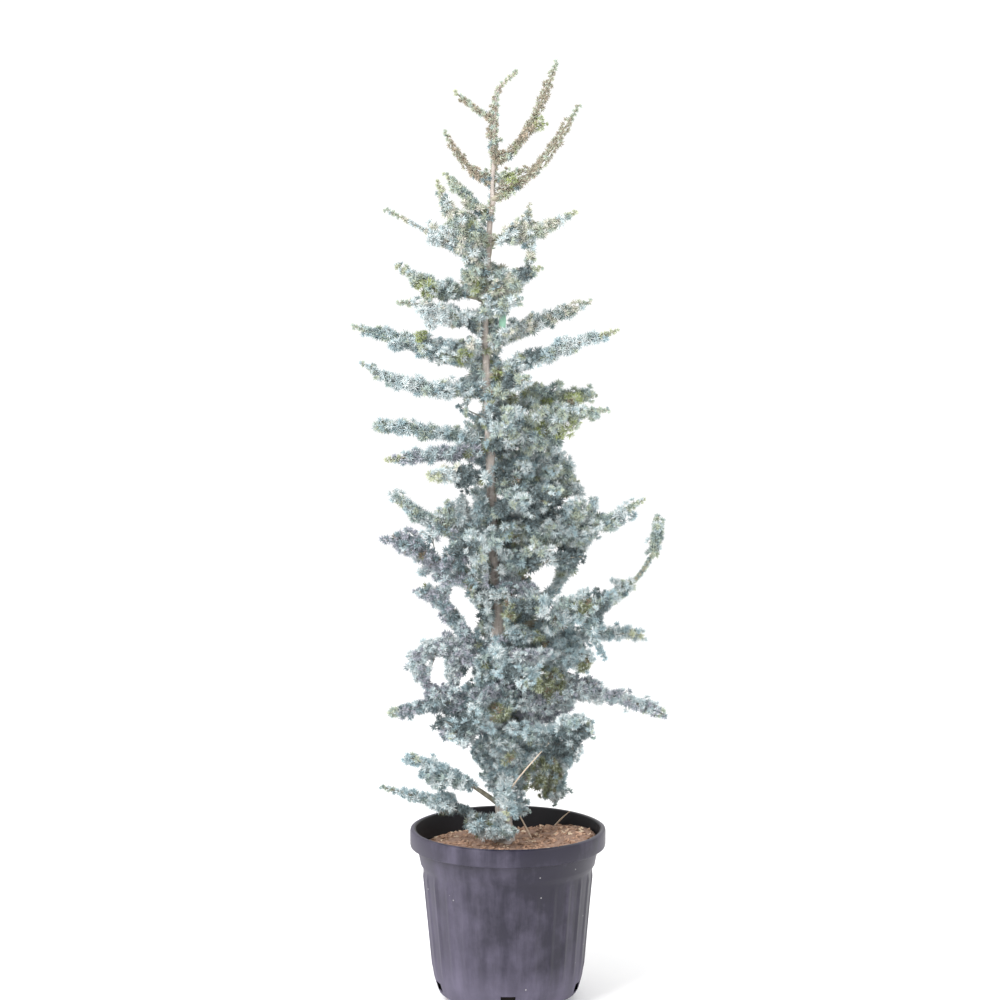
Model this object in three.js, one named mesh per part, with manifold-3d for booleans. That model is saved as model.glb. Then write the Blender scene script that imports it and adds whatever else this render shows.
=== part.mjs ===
// A potted blue atlas cedar as a nursery sells it: a young, open tree with one thin leaning
// trunk and spreading limbs clothed in silver-blue brushes of needles, in a ribbed charcoal
// container filled with bark-chip potting mix.
// Millimetres, +Z up. The origin is the middle of the pot's flat underside. The viewer stands
// on the -Y side with +X to the right.

import * as THREE from 'three';
import { mergeVertices } from 'three/addons/utils/BufferGeometryUtils.js';
import Module from 'manifold-3d';

const wasm = await Module();
wasm.setup();

const { degToRad, lerp, seededRandom, smoothstep } = THREE.MathUtils;

const clearance = 0.3;
const up = new THREE.Vector3(0, 0, 1);

const looks = {
  pot: { color: 0x5c5965, roughness: 0.55 },
  soil: { color: 0x8f6f60, roughness: 0.95 },
  bark: { color: 0x958b84, roughness: 0.9 },
  boughBark: { color: 0x8b8076, roughness: 0.9 },
  paleNeedles: { color: 0xaab2a8, roughness: 0.8 },
  blueNeedles: { color: 0x9aaaa8, roughness: 0.8 },
  shadedNeedles: { color: 0x87978f, roughness: 0.8 },
};

const pot = {
  height: 330,
  sides: 28,
  footRadius: 109,
  chineRadius: 134,
  chineHeight: 22,
  heelRadius: 141,
  heelHeight: 45,
  shoulderRadius: 161,
  shoulderHeight: 256,
  bandRadius: 166,
  bandHeight: 265,
  neckRadius: 172,
  neckHeight: 296,
  rimRadius: 185,
  rimEase: 4,
  mouthRadius: 174,
  wall: 3,
  floor: 4,
  ribs: 28,
  ribWidth: 7,
  ribProud: 1.8,
  ribSunk: 1.8,
  ribFoot: 58,
  ribHead: 250,
  drains: 5,
  drainWidth: 28,
  drainHeight: 17,
  drainMiddle: 33,
  drainDepth: 30,
};

// The potting mix is a plug with a low, lumpy mound, level where the trunk stands.
const soil = {
  edge: 287,
  top: 294,
  seatRadius: 32,
  lumpRadii: [142, 108, 72],
  lump: 2.4,
  seed: 41,
};

// The trunk's axis leans left as it climbs and its leader nods to the right.
const trunk = {
  sides: 9,
  steps: 30,
  baseRadius: 14.5,
  tipRadius: 1.6,
  taper: 0.92,
  flare: 9,
  flareHeight: 26,
  axis: [
    [-6, 0, soil.top],
    [-13, 4, 540],
    [-30, -4, 950],
    [-42, 2, 1330],
    [-29, 0, 1520],
    [-24, 0, 1676],
    [-20, 0, 1707],
    [16, -2, 1744],
  ],
};

// How a brush of needles fills out: its slim core as a share of its radius, its fullness at the
// root and at the tip, and the stretch of stem that bears one side twig.
const open = { core: 0.2, root: 0.45, tip: 0.24, twigEvery: 95 };
const dense = { core: 0.26, root: 0.3, tip: 0.42, twigEvery: 74 };

// Each limb leaves the trunk at a height, on a bearing (0 to the right, 90 away from the
// viewer), to a tip that lies reach out and rise up from there. bow is how far its middle sags,
// push how far its middle is carried outward, bare the share of it that is a leafless bough,
// and brush the full radius of its needles.
const limbs = [
  { name: 'top_1', height: 1652, bearing: 172, reach: 74, rise: 54, bow: 2, brush: 12, habit: open },
  { name: 'top_2', height: 1590, bearing: 96, reach: 16, rise: 92, bow: -4, brush: 17, habit: open },
  { name: 'top_3', height: 1576, bearing: 6, reach: 117, rise: 186, bow: 40, brush: 20, habit: open },
  { name: 'top_4', height: 1538, bearing: 188, reach: 90, rise: 96, bow: 18, brush: 15, habit: open },
  { name: 'top_5', height: 1510, bearing: 348, reach: 162, rise: 171, bow: 29, brush: 21, habit: open },
  { name: 'left_1', height: 1468, bearing: 155, reach: 93, rise: 90, bow: 0, brush: 22, habit: open },
  { name: 'left_2', height: 1440, bearing: 216, reach: 116, rise: 102, bow: 42, brush: 36, habit: open },
  { name: 'left_3', height: 1392, bearing: 172, reach: 190, rise: 100, bow: 0, brush: 40, habit: open },
  { name: 'left_4', height: 1326, bearing: 164, reach: 176, rise: 62, bow: 10, brush: 40, habit: open },
  {
    name: 'left_5', height: 1252, bearing: 202, reach: 172, rise: 70, bow: -18, bare: 0.34,
    brush: 30, habit: open,
  },
  { name: 'left_6', height: 1194, bearing: 170, reach: 254, rise: 80, bow: -4, brush: 40, habit: open },
  { name: 'left_7', height: 1166, bearing: 194, reach: 238, rise: 47, bow: 26, brush: 40, habit: open },
  { name: 'left_8', height: 1061, bearing: 170, reach: 216, rise: 29, bow: -3, brush: 38, habit: open },
  { name: 'left_9', height: 1045, bearing: 204, reach: 208, rise: -9, bow: -2, brush: 32, habit: open },
  { name: 'left_10', height: 991, bearing: 230, reach: 170, rise: 21, bow: -4, brush: 42, habit: open },
  { name: 'left_11', height: 890, bearing: 166, reach: 196, rise: 76, bow: 30, brush: 42, habit: open },
  { name: 'left_12', height: 792, bearing: 194, reach: 194, rise: 98, bow: 14, brush: 46, habit: dense },
  { name: 'left_13', height: 672, bearing: 184, reach: 116, rise: 116, bow: 37, brush: 36, habit: open },
  {
    name: 'left_14', height: 648, bearing: 172, reach: 160, rise: -28, bow: -44, push: 72,
    brush: 38, habit: open,
  },
  { name: 'left_15', height: 580, bearing: 182, reach: 208, rise: -31, bow: -4, brush: 38, habit: open },
  { name: 'left_16', height: 516, bearing: 204, reach: 112, rise: 20, bow: 0, brush: 46, habit: dense },
  {
    name: 'left_17', height: 366, bearing: 206, reach: 206, rise: 118, bow: -14, bare: 0.32,
    brush: 40, habit: open,
  },
  { name: 'left_18', height: 328, bearing: 180, reach: 234, rise: 80, bow: -4, brush: 34, habit: open },
  { name: 'right_1', height: 1430, bearing: 354, reach: 162, rise: 58, bow: 10, brush: 34, habit: open },
  { name: 'right_2', height: 1336, bearing: 334, reach: 114, rise: 50, bow: 0, brush: 42, habit: open },
  { name: 'right_3', height: 1236, bearing: 12, reach: 200, rise: 85, bow: -2, brush: 34, habit: open },
  { name: 'right_4', height: 1182, bearing: 350, reach: 244, rise: 88, bow: -4, brush: 38, habit: open },
  { name: 'right_5', height: 1104, bearing: 20, reach: 216, rise: 41, bow: -15, brush: 44, habit: dense },
  { name: 'right_6', height: 1046, bearing: 348, reach: 224, rise: 78, bow: -20, brush: 44, habit: dense },
  { name: 'right_7', height: 972, bearing: 26, reach: 180, rise: 8, bow: -20, brush: 54, habit: dense },
  { name: 'right_8', height: 882, bearing: 2, reach: 282, rise: 72, bow: 32, brush: 50, habit: dense },
  { name: 'right_9', height: 806, bearing: 336, reach: 180, rise: 50, bow: -8, brush: 50, habit: dense },
  { name: 'right_10', height: 724, bearing: 30, reach: 200, rise: 154, bow: 45, brush: 32, habit: open },
  {
    name: 'right_11', height: 708, bearing: 8, reach: 306, rise: 210, bow: 38, push: 165, bare: 0.4,
    brush: 26, habit: open,
  },
  { name: 'right_12', height: 664, bearing: 336, reach: 212, rise: 108, bow: 0, brush: 54, habit: dense },
  { name: 'right_13', height: 640, bearing: 6, reach: 278, rise: 52, bow: -23, brush: 42, habit: open },
  {
    name: 'right_14', height: 524, bearing: 356, reach: 310, rise: 23, bow: -53, push: -40,
    brush: 42, habit: open,
  },
  { name: 'right_15', height: 462, bearing: 44, reach: 162, rise: -76, bow: -24, brush: 48, habit: dense },
  { name: 'front_1', height: 1146, bearing: 304, reach: 138, rise: 44, bow: 0, brush: 44, habit: open },
  { name: 'front_2', height: 1090, bearing: 280, reach: 180, rise: 20, bow: -8, brush: 54, habit: dense },
  { name: 'front_3', height: 928, bearing: 311, reach: 166, rise: 34, bow: -12, brush: 54, habit: dense },
  { name: 'front_4', height: 866, bearing: 254, reach: 182, rise: 10, bow: -8, brush: 56, habit: dense },
  { name: 'front_5', height: 752, bearing: 300, reach: 172, rise: 10, bow: -10, brush: 54, habit: dense },
  { name: 'front_6', height: 630, bearing: 286, reach: 188, rise: 6, bow: -10, brush: 60, habit: dense },
  { name: 'front_7', height: 550, bearing: 240, reach: 184, rise: -14, bow: -10, brush: 56, habit: dense },
  { name: 'front_8', height: 500, bearing: 318, reach: 218, rise: 42, bow: -6, brush: 58, habit: dense },
  { name: 'front_9', height: 436, bearing: 274, reach: 110, rise: -66, bow: -30, brush: 28, habit: open },
  { name: 'front_10', height: 324, bearing: 226, reach: 78, rise: 10, bow: 0, brush: 24, habit: open },
  { name: 'back_1', height: 1376, bearing: 84, reach: 120, rise: 66, bow: 8, brush: 32, habit: open },
  { name: 'back_2', height: 1162, bearing: 100, reach: 192, rise: 60, bow: 4, brush: 38, habit: open },
  { name: 'back_3', height: 1024, bearing: 94, reach: 206, rise: 42, bow: 0, brush: 50, habit: dense },
  { name: 'back_4', height: 836, bearing: 100, reach: 218, rise: 40, bow: -8, brush: 54, habit: dense },
  { name: 'back_5', height: 672, bearing: 90, reach: 224, rise: 24, bow: -10, brush: 56, habit: dense },
  { name: 'back_6', height: 545, bearing: 104, reach: 216, rise: 2, bow: -12, brush: 56, habit: dense },
];

// A bare bough's radius as shares of its limb's length.
const wood = { rootShare: 0.017, tipShare: 0.008, least: 1.2, sides: 5, steps: 4 };

// Where a brush reaches its full width, where it starts to draw in, and its corners.
const brushRule = { fullBy: 0.25, closeFrom: 0.8, tipRadius: 0.9, sides: 6, pitch: 17 };

// Side twigs: where they stand on a stem, and how they head off it and shorten along it.
const twigRule = {
  leastBrush: 18,
  first: 0.16,
  last: 0.84,
  angle: 54,
  wander: 0.2,
  lift: 0.12,
  baseLength: 14,
  lengthPerBrush: 1.12,
  shrink: 0.5,
  uneven: 0.15,
  lengthsToTry: [1, 0.75, 0.55],
  brush: 0.7,
  sides: 3,
  pitch: 16,
};

const needle = {
  lean: 1.1, ragged: 0.22, least: 6, radius: 1.5, seed: 7, paleAbove: 1400, blueAbove: 700,
};

// Room kept between neighbours, over the potting mix and over the pot's rim.
const room = { between: 1.2, overSoil: 3, overRim: 6, insideRim: 150, trunkPieces: 40, stemPieces: 6 };

function solidOf(geometry) {
  geometry.deleteAttribute('normal');
  geometry.deleteAttribute('uv');
  const merged = mergeVertices(geometry, 1e-4);
  const vertProperties = merged.getAttribute('position').array;
  const triVerts = new Uint32Array(merged.index.array);
  return new wasm.Manifold(new wasm.Mesh({ numProp: 3, vertProperties, triVerts }));
}

function geometryOf(solid) {
  const mesh = solid.getMesh();
  const geometry = new THREE.BufferGeometry();
  geometry.setAttribute('position', new THREE.BufferAttribute(mesh.vertProperties, 3));
  geometry.setIndex(new THREE.BufferAttribute(mesh.triVerts, 1));
  geometry.computeVertexNormals();
  return geometry;
}

// The one large body of a solid, without loose scraps and with any sealed hollow filled.
function wholeBody(solid) {
  return solid.decompose().reduce((best, body) => (body.volume() > best.volume() ? body : best));
}

// A closed round bar: a cylinder whose rings are moved onto a curve and sized to its taper.
function barAlong(curve, radiusAt, sides, steps) {
  const geometry = new THREE.CylinderGeometry(1, 1, 1, sides, steps);
  const frames = curve.computeFrenetFrames(steps);
  const place = geometry.getAttribute('position');
  for (let i = 0; i < place.count; i += 1) {
    const ring = Math.round((place.getY(i) + 0.5) * steps);
    const radius = radiusAt(ring / steps);
    const point = curve.getPointAt(ring / steps);
    point.addScaledVector(frames.binormals[ring], place.getX(i) * radius);
    point.addScaledVector(frames.normals[ring], place.getZ(i) * radius);
    place.setXYZ(i, point.x, point.y, point.z);
  }
  return solidOf(geometry);
}

// The stretch of a curved limb between two shares of its length.
function stretchOf(curve, from, to) {
  const middle = curve.v0.clone().multiplyScalar((1 - from) * (1 - to));
  middle.addScaledVector(curve.v1, from * (1 - to) + to * (1 - from));
  middle.addScaledVector(curve.v2, from * to);
  return new THREE.QuadraticBezierCurve3(curve.getPoint(from), middle, curve.getPoint(to));
}

function turned(profile) {
  const points = profile.map(([radius, height]) => new THREE.Vector2(radius, height));
  return new THREE.LatheGeometry(points, pot.sides).rotateX(Math.PI / 2);
}

// The pot's inner face from the floor up to the neck, drawn in by an inset.
function pocketProfile(inset) {
  const shrink = pot.wall + inset;
  return [
    [pot.footRadius - shrink, pot.floor + inset],
    [pot.chineRadius - shrink, pot.chineHeight + inset],
    [pot.heelRadius - shrink, pot.heelHeight],
    [pot.shoulderRadius - shrink, pot.shoulderHeight],
    [pot.bandRadius - shrink, pot.bandHeight],
    [pot.neckRadius - shrink, pot.neckHeight],
  ];
}

function makePot() {
  const shell = solidOf(turned([
    [0, 0],
    [pot.footRadius, 0],
    [pot.chineRadius, pot.chineHeight],
    [pot.heelRadius, pot.heelHeight],
    [pot.shoulderRadius, pot.shoulderHeight],
    [pot.bandRadius, pot.bandHeight],
    [pot.neckRadius, pot.neckHeight],
    [pot.rimRadius - pot.rimEase, pot.neckHeight],
    [pot.rimRadius, pot.neckHeight + pot.rimEase],
    [pot.rimRadius, pot.height - pot.rimEase],
    [pot.rimRadius - pot.rimEase, pot.height],
    [pot.mouthRadius, pot.height],
    ...pocketProfile(0).reverse(),
    [0, pot.floor],
  ]));
  const slope = (pot.shoulderRadius - pot.heelRadius) / (pot.shoulderHeight - pot.heelHeight);
  const lean = Math.atan(slope);
  const ribMiddle = (pot.ribHead + pot.ribFoot) / 2;
  const wallRadius = pot.heelRadius + (ribMiddle - pot.heelHeight) * slope;
  const ribs = [];
  for (let i = 0; i < pot.ribs; i += 1) {
    const length = (pot.ribHead - pot.ribFoot) / Math.cos(lean);
    const rib = new THREE.BoxGeometry(pot.ribProud + pot.ribSunk, pot.ribWidth, length);
    rib.rotateY(lean);
    rib.translate(wallRadius + (pot.ribProud - pot.ribSunk) / 2, 0, ribMiddle);
    rib.rotateZ((i + 0.5) * 2 * Math.PI / pot.ribs);
    ribs.push(solidOf(rib));
  }
  const drains = [];
  for (let i = 0; i < pot.drains; i += 1) {
    const drain = new THREE.BoxGeometry(pot.drainDepth, pot.drainWidth, pot.drainHeight);
    drain.translate(pot.heelRadius - pot.wall, 0, pot.drainMiddle);
    drain.rotateZ(-Math.PI / 2 + i * 2 * Math.PI / pot.drains);
    drains.push(solidOf(drain));
  }
  return wholeBody(wasm.Manifold.union([shell, ...ribs]).subtract(wasm.Manifold.union(drains)));
}

function makeSoil() {
  const edgeShare = (soil.edge - pot.bandHeight) / (pot.neckHeight - pot.bandHeight);
  const edgeRadius = lerp(pot.bandRadius, pot.neckRadius, edgeShare) - pot.wall - clearance;
  const mound = soil.lumpRadii.map((radius) => [radius, lerp(soil.top, soil.edge, radius / edgeRadius)]);
  const geometry = turned([
    [0, pot.floor + clearance],
    ...pocketProfile(clearance).slice(0, -1),
    [edgeRadius, soil.edge],
    ...mound,
    [soil.seatRadius, soil.top],
    [0, soil.top],
  ]);
  geometry.deleteAttribute('normal');
  geometry.deleteAttribute('uv');
  const lumpy = mergeVertices(geometry, 1e-4);
  const place = lumpy.getAttribute('position');
  seededRandom(soil.seed);
  for (let i = 0; i < place.count; i += 1) {
    const radius = Math.hypot(place.getX(i), place.getY(i));
    const onLumpRing = soil.lumpRadii.some((ring) => Math.abs(ring - radius) < 1);
    if (onLumpRing && place.getZ(i) > soil.edge) {
      place.setZ(i, place.getZ(i) + (seededRandom() - 0.5) * 2 * soil.lump);
    }
  }
  return solidOf(lumpy);
}

const trunkCurve = new THREE.CatmullRomCurve3(trunk.axis.map((point) => new THREE.Vector3(...point)));

function trunkRadiusAt(share) {
  const height = trunkCurve.getPointAt(share).z - soil.top;
  const flare = trunk.flare * Math.exp(-height / trunk.flareHeight);
  return trunk.tipRadius + (trunk.baseRadius - trunk.tipRadius) * (1 - share) ** trunk.taper + flare;
}

function trunkPointAt(height) {
  let low = 0;
  let high = 1;
  while (high - low > 1e-6) {
    const middle = (low + high) / 2;
    if (trunkCurve.getPointAt(middle).z < height) {
      low = middle;
    } else {
      high = middle;
    }
  }
  return trunkCurve.getPointAt(low);
}

// The trunk, grown all round by an extra, and cut flat just over the potting mix.
function makeTrunk(extra) {
  const bar = barAlong(trunkCurve, (share) => trunkRadiusAt(share) + extra, trunk.sides, trunk.steps);
  return wholeBody(bar.trimByPlane([0, 0, 1], soil.top + clearance - extra));
}

function limbCurve(limb) {
  const root = trunkPointAt(limb.height);
  const turn = degToRad(limb.bearing);
  const outward = new THREE.Vector3(Math.cos(turn), Math.sin(turn), 0);
  const tip = root.clone().addScaledVector(outward, limb.reach).addScaledVector(up, limb.rise);
  const middle = root.clone().lerp(tip, 0.5);
  middle.addScaledVector(outward, limb.push ?? 0).addScaledVector(up, -2 * limb.bow);
  return new THREE.QuadraticBezierCurve3(root, middle, tip);
}

// How full the brush of needles is along a shoot: thin at its root, full, then a slim tip.
function fullness(habit, share) {
  return lerp(habit.root, 1, smoothstep(share, 0, brushRule.fullBy)) * lerp(1, habit.tip, share);
}

function coreRadius(shoot, share) {
  const radius = shoot.brush * shoot.habit.core * fullness(shoot.habit, share);
  return lerp(radius, brushRule.tipRadius, smoothstep(share, brushRule.closeFrom, 1));
}

// Room already taken, as straight pieces with a radius, so that no two masses meet.
const taken = [];

function claim(owner, line, radius) {
  taken.push({ owner, line, radius });
}

function claimCurve(owner, curve, radiusAt, pieces) {
  for (let i = 0; i < pieces; i += 1) {
    const line = new THREE.Line3(curve.getPointAt(i / pieces), curve.getPointAt((i + 1) / pieces));
    claim(owner, line, Math.max(radiusAt(i / pieces), radiusAt((i + 1) / pieces)));
  }
}

function isClear(owner, line, radius) {
  for (const end of [line.start, line.end]) {
    const overRim = Math.hypot(end.x, end.y) + radius > room.insideRim;
    const floor = overRim ? pot.height + room.overRim : soil.top + room.overSoil;
    if (end.z - radius < floor) {
      return false;
    }
  }
  return taken.every((other) => {
    const apart = radius + other.radius + room.between;
    return other.owner === owner || line.distanceSqToLine3(other.line) > apart * apart;
  });
}

// Side twigs stand off a stem to the left and right in turn, nearly level.
function growTwigs(owner, stem) {
  const wanted = stem.brush < twigRule.leastBrush ? 0 : stem.curve.getLength() / stem.habit.twigEvery;
  const count = Math.round(wanted);
  const longest = twigRule.baseLength + twigRule.lengthPerBrush * stem.brush;
  const twigs = [];
  for (let i = 0; i < count; i += 1) {
    const share = lerp(twigRule.first, twigRule.last, (i + seededRandom()) / count);
    const along = stem.curve.getTangentAt(share);
    const aside = along.clone().cross(up).normalize().multiplyScalar(i % 2 === 0 ? 1 : -1);
    const angle = degToRad(twigRule.angle * (1 + (seededRandom() - 0.5) * twigRule.wander));
    const heading = along.multiplyScalar(Math.cos(angle)).addScaledVector(aside, Math.sin(angle));
    heading.addScaledVector(up, twigRule.lift * 2 * seededRandom()).normalize();
    const uneven = 1 + (seededRandom() - 0.5) * 2 * twigRule.uneven;
    const length = longest * (1 - twigRule.shrink * share) * uneven;
    const brush = twigRule.brush * stem.brush * fullness(stem.habit, share);
    const start = stem.curve.getPointAt(share);
    const lineOf = (part) => new THREE.Line3(start, start.clone().addScaledVector(heading, length * part));
    const radius = stem.habit.core * brush;
    const line = twigRule.lengthsToTry.map(lineOf).find((one) => isClear(owner, one, radius));
    if (line) {
      claim(owner, line, radius);
      twigs.push({ curve: new THREE.LineCurve3(line.start, line.end), brush, habit: stem.habit });
    }
  }
  return twigs;
}

// A shoot and its needles as one closed bar: every second corner of each ring is drawn out into a
// needle that leans toward the tip. A needle with no room stays undrawn.
function brushAlong(owner, shoot, sides, pitch) {
  const { curve, brush, habit } = shoot;
  const steps = Math.max(3, Math.round(curve.getLength() / pitch));
  const frames = curve.computeFrenetFrames(steps);
  const cornerAt = (ring, side, radius, share) => {
    const turn = side * 2 * Math.PI / sides;
    const corner = curve.getPointAt(share);
    corner.addScaledVector(frames.binormals[ring], Math.sin(turn) * radius);
    return corner.addScaledVector(frames.normals[ring], Math.cos(turn) * radius);
  };
  const corners = [];
  for (let ring = 0; ring <= steps; ring += 1) {
    const share = ring / steps;
    corners.push([]);
    for (let side = 0; side < sides; side += 1) {
      let corner = cornerAt(ring, side, coreRadius(shoot, share), share);
      if (ring > 0 && ring < steps && (side + ring) % 2 === 0) {
        const ragged = 1 + (seededRandom() - 0.5) * 2 * needle.ragged;
        const length = Math.max(brush * fullness(habit, share), needle.least) * ragged;
        const tip = cornerAt(ring, side, length, share + needle.lean / steps);
        const behind = [side + 1, side + sides - 1].map((near) => corners[ring - 1][near % sides]);
        const edges = [corner, ...behind].map((point) => new THREE.Line3(point, tip));
        if (edges.every((edge) => isClear(owner, edge, needle.radius))) {
          edges.forEach((edge) => claim(owner, edge, needle.radius));
          corner = tip;
        }
      }
      corners[ring].push(corner);
    }
  }
  const geometry = new THREE.CylinderGeometry(1, 1, 1, sides, steps);
  const place = geometry.getAttribute('position');
  for (let i = 0; i < place.count; i += 1) {
    const ring = Math.round((place.getY(i) + 0.5) * steps);
    const onAxis = Math.hypot(place.getX(i), place.getZ(i)) < 0.5;
    const turn = Math.atan2(place.getX(i), place.getZ(i)) / (2 * Math.PI);
    const side = Math.round((turn + 1) * sides) % sides;
    const point = onAxis ? curve.getPointAt(ring / steps) : corners[ring][side];
    place.setXYZ(i, point.x, point.y, point.z);
  }
  return solidOf(geometry);
}

function growMass(owner, stem, trunkRoom) {
  const twigs = growTwigs(owner, stem);
  const shoots = [brushAlong(owner, stem, brushRule.sides, brushRule.pitch)];
  for (const twig of twigs) {
    shoots.push(brushAlong(owner, twig, twigRule.sides, twigRule.pitch));
  }
  return wholeBody(wasm.Manifold.union(shoots).subtract(trunkRoom));
}

function boughRadius(limb, share) {
  const length = limb.reach + Math.abs(limb.rise);
  return Math.max(length * lerp(wood.rootShare, wood.tipShare, share), wood.least);
}

// Needles are palest round the leader and darkest in the shade low down.
function needleLook(limb) {
  if (limb.height > needle.paleAbove) {
    return looks.paleNeedles;
  }
  return limb.height > needle.blueAbove ? looks.blueNeedles : looks.shadedNeedles;
}

function meshOf(name, solid, look) {
  const mesh = new THREE.Mesh(geometryOf(solid), new THREE.MeshStandardMaterial({ ...look, metalness: 0 }));
  mesh.name = name;
  return mesh;
}

const container = new THREE.Group();
container.name = 'container';
container.add(meshOf('pot', makePot(), looks.pot));
container.add(meshOf('soil', makeSoil(), looks.soil));

const tree = new THREE.Group();
tree.name = 'tree';
tree.add(meshOf('trunk', makeTrunk(0), looks.bark));

const trunkRoom = makeTrunk(clearance);
claimCurve('trunk', trunkCurve, trunkRadiusAt, room.trunkPieces);

// Boughs and stems take their room first, then each mass grows in what is left.
const stems = new Map();
for (const limb of limbs) {
  const curve = limbCurve(limb);
  const bare = limb.bare ?? 0;
  if (bare > 0) {
    const name = `bough_${limb.name}`;
    const bough = stretchOf(curve, 0, bare);
    const radiusAt = (share) => boughRadius(limb, share);
    claimCurve(name, bough, radiusAt, wood.steps);
    const bar = barAlong(bough, radiusAt, wood.sides, wood.steps);
    tree.add(meshOf(name, wholeBody(bar.subtract(trunkRoom)), looks.boughBark));
  }
  const start = bare > 0 ? bare + clearance / curve.getLength() : 0;
  const stem = { curve: stretchOf(curve, start, 1), brush: limb.brush, habit: limb.habit };
  claimCurve(limb.name, stem.curve, (share) => coreRadius(stem, share), room.stemPieces);
  stems.set(limb.name, stem);
}

seededRandom(needle.seed);
for (const limb of limbs) {
  const solid = growMass(limb.name, stems.get(limb.name), trunkRoom);
  tree.add(meshOf(`foliage_${limb.name}`, solid, needleLook(limb)));
}

const cedar = new THREE.Group();
cedar.name = 'potted_blue_atlas_cedar';
cedar.add(container, tree);

export default cedar;
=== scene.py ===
import math

import bmesh
import bpy
import numpy as np
from mathutils import Matrix, Vector, noise


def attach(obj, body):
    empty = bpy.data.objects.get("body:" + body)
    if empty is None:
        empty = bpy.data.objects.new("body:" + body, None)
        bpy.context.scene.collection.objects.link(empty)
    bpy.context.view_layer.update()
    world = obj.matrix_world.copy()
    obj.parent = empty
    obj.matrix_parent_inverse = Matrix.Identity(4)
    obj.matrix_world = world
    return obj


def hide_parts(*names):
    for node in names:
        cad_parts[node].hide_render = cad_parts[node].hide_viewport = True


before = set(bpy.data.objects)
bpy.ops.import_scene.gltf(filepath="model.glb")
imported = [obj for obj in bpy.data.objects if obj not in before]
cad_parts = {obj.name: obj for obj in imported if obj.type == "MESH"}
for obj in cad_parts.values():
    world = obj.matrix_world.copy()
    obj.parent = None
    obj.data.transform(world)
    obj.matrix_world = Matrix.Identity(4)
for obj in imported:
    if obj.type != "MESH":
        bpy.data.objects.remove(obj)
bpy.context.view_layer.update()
mm = 0.001
upAxis = Vector((0, 0, 1))
upArray = np.array([0, 0, 1.0])
goldenTurn = math.pi * (3 - math.sqrt(5))
print("frame loaded:", len(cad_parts), "nodes")


def linear(hexCode):
    parts = [int(hexCode[i:i + 2], 16) / 255 for i in (1, 3, 5)]
    parts = [c / 12.92 if c <= 0.04045 else ((c + 0.055) / 1.055) ** 2.4 for c in parts]
    return (*parts, 1.0)


def addNode(tree, kind, inputs, **settings):
    node = tree.nodes.new("ShaderNode" + kind)
    for key, value in settings.items():
        setattr(node, key, value)
    for key, value in inputs.items():
        if isinstance(value, bpy.types.NodeSocket):
            tree.links.new(value, node.inputs[key])
        else:
            node.inputs[key].default_value = value
    return node


def startMaterial(name, values):
    material = bpy.data.materials.new(name)
    material.use_nodes = True
    shader = material.node_tree.nodes["Principled BSDF"]
    for key, value in values.items():
        shader.inputs[key].default_value = value
    return material, material.node_tree, shader


def noiseOf(tree, place, size, detail, roughness=0.5):
    # place is in metres, size is the width of the features in mm
    inputs = {"Vector": place, "Scale": 1 / (size * mm), "Detail": detail, "Roughness": roughness}
    return addNode(tree, "TexNoise", inputs).outputs["Fac"]


def cellsOf(tree, place, size):
    return addNode(tree, "TexVoronoi", {"Vector": place, "Scale": 1 / (size * mm)})


def scaled(tree, place, scale):
    return addNode(tree, "Mapping", {"Vector": place, "Scale": scale}).outputs["Vector"]


def remap(tree, value, low, high, start=0.0, end=1.0):
    return addNode(tree, "MapRange", {"Value": value, 1: low, 2: high, 3: start, 4: end}).outputs[0]


def reckon(tree, operation, *values, **settings):
    return addNode(tree, "Math", dict(enumerate(values)), operation=operation, **settings).outputs[0]


def blend(tree, share, first, second):
    first, second = (linear(c) if isinstance(c, str) else c for c in (first, second))
    return addNode(tree, "Mix", {0: share, 6: first, 7: second}, data_type="RGBA").outputs[2]


def bumpOf(tree, height, strength, deep):
    inputs = {"Height": height, "Strength": strength, "Distance": deep * mm}
    return addNode(tree, "Bump", inputs).outputs[0]


def wireUp(tree, shader, sockets):
    for key, socket in sockets.items():
        tree.links.new(socket, shader.inputs[key])


# camera where the photograph was taken, a little above the tree's middle
cameraSet = {
    "place": (-0.015, -4.8, 1.48), "pitchDown": 6.27, "focalPixels": 2587, "framePixels": 1000,
    "sensor": 36, "clipEnd": 60,
}

cameraData = bpy.data.cameras.new("camera")
cameraData.sensor_width = cameraSet["sensor"]
cameraData.lens = cameraSet["focalPixels"] / cameraSet["framePixels"] * cameraData.sensor_width
cameraData.clip_end = cameraSet["clipEnd"]
camera = bpy.data.objects.new("camera", cameraData)
camera.location = cameraSet["place"]
camera.rotation_euler = (math.radians(90 - cameraSet["pitchDown"]), 0, 0)
bpy.context.scene.collection.objects.link(camera)
bpy.context.scene.camera = camera
print("camera set")


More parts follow.
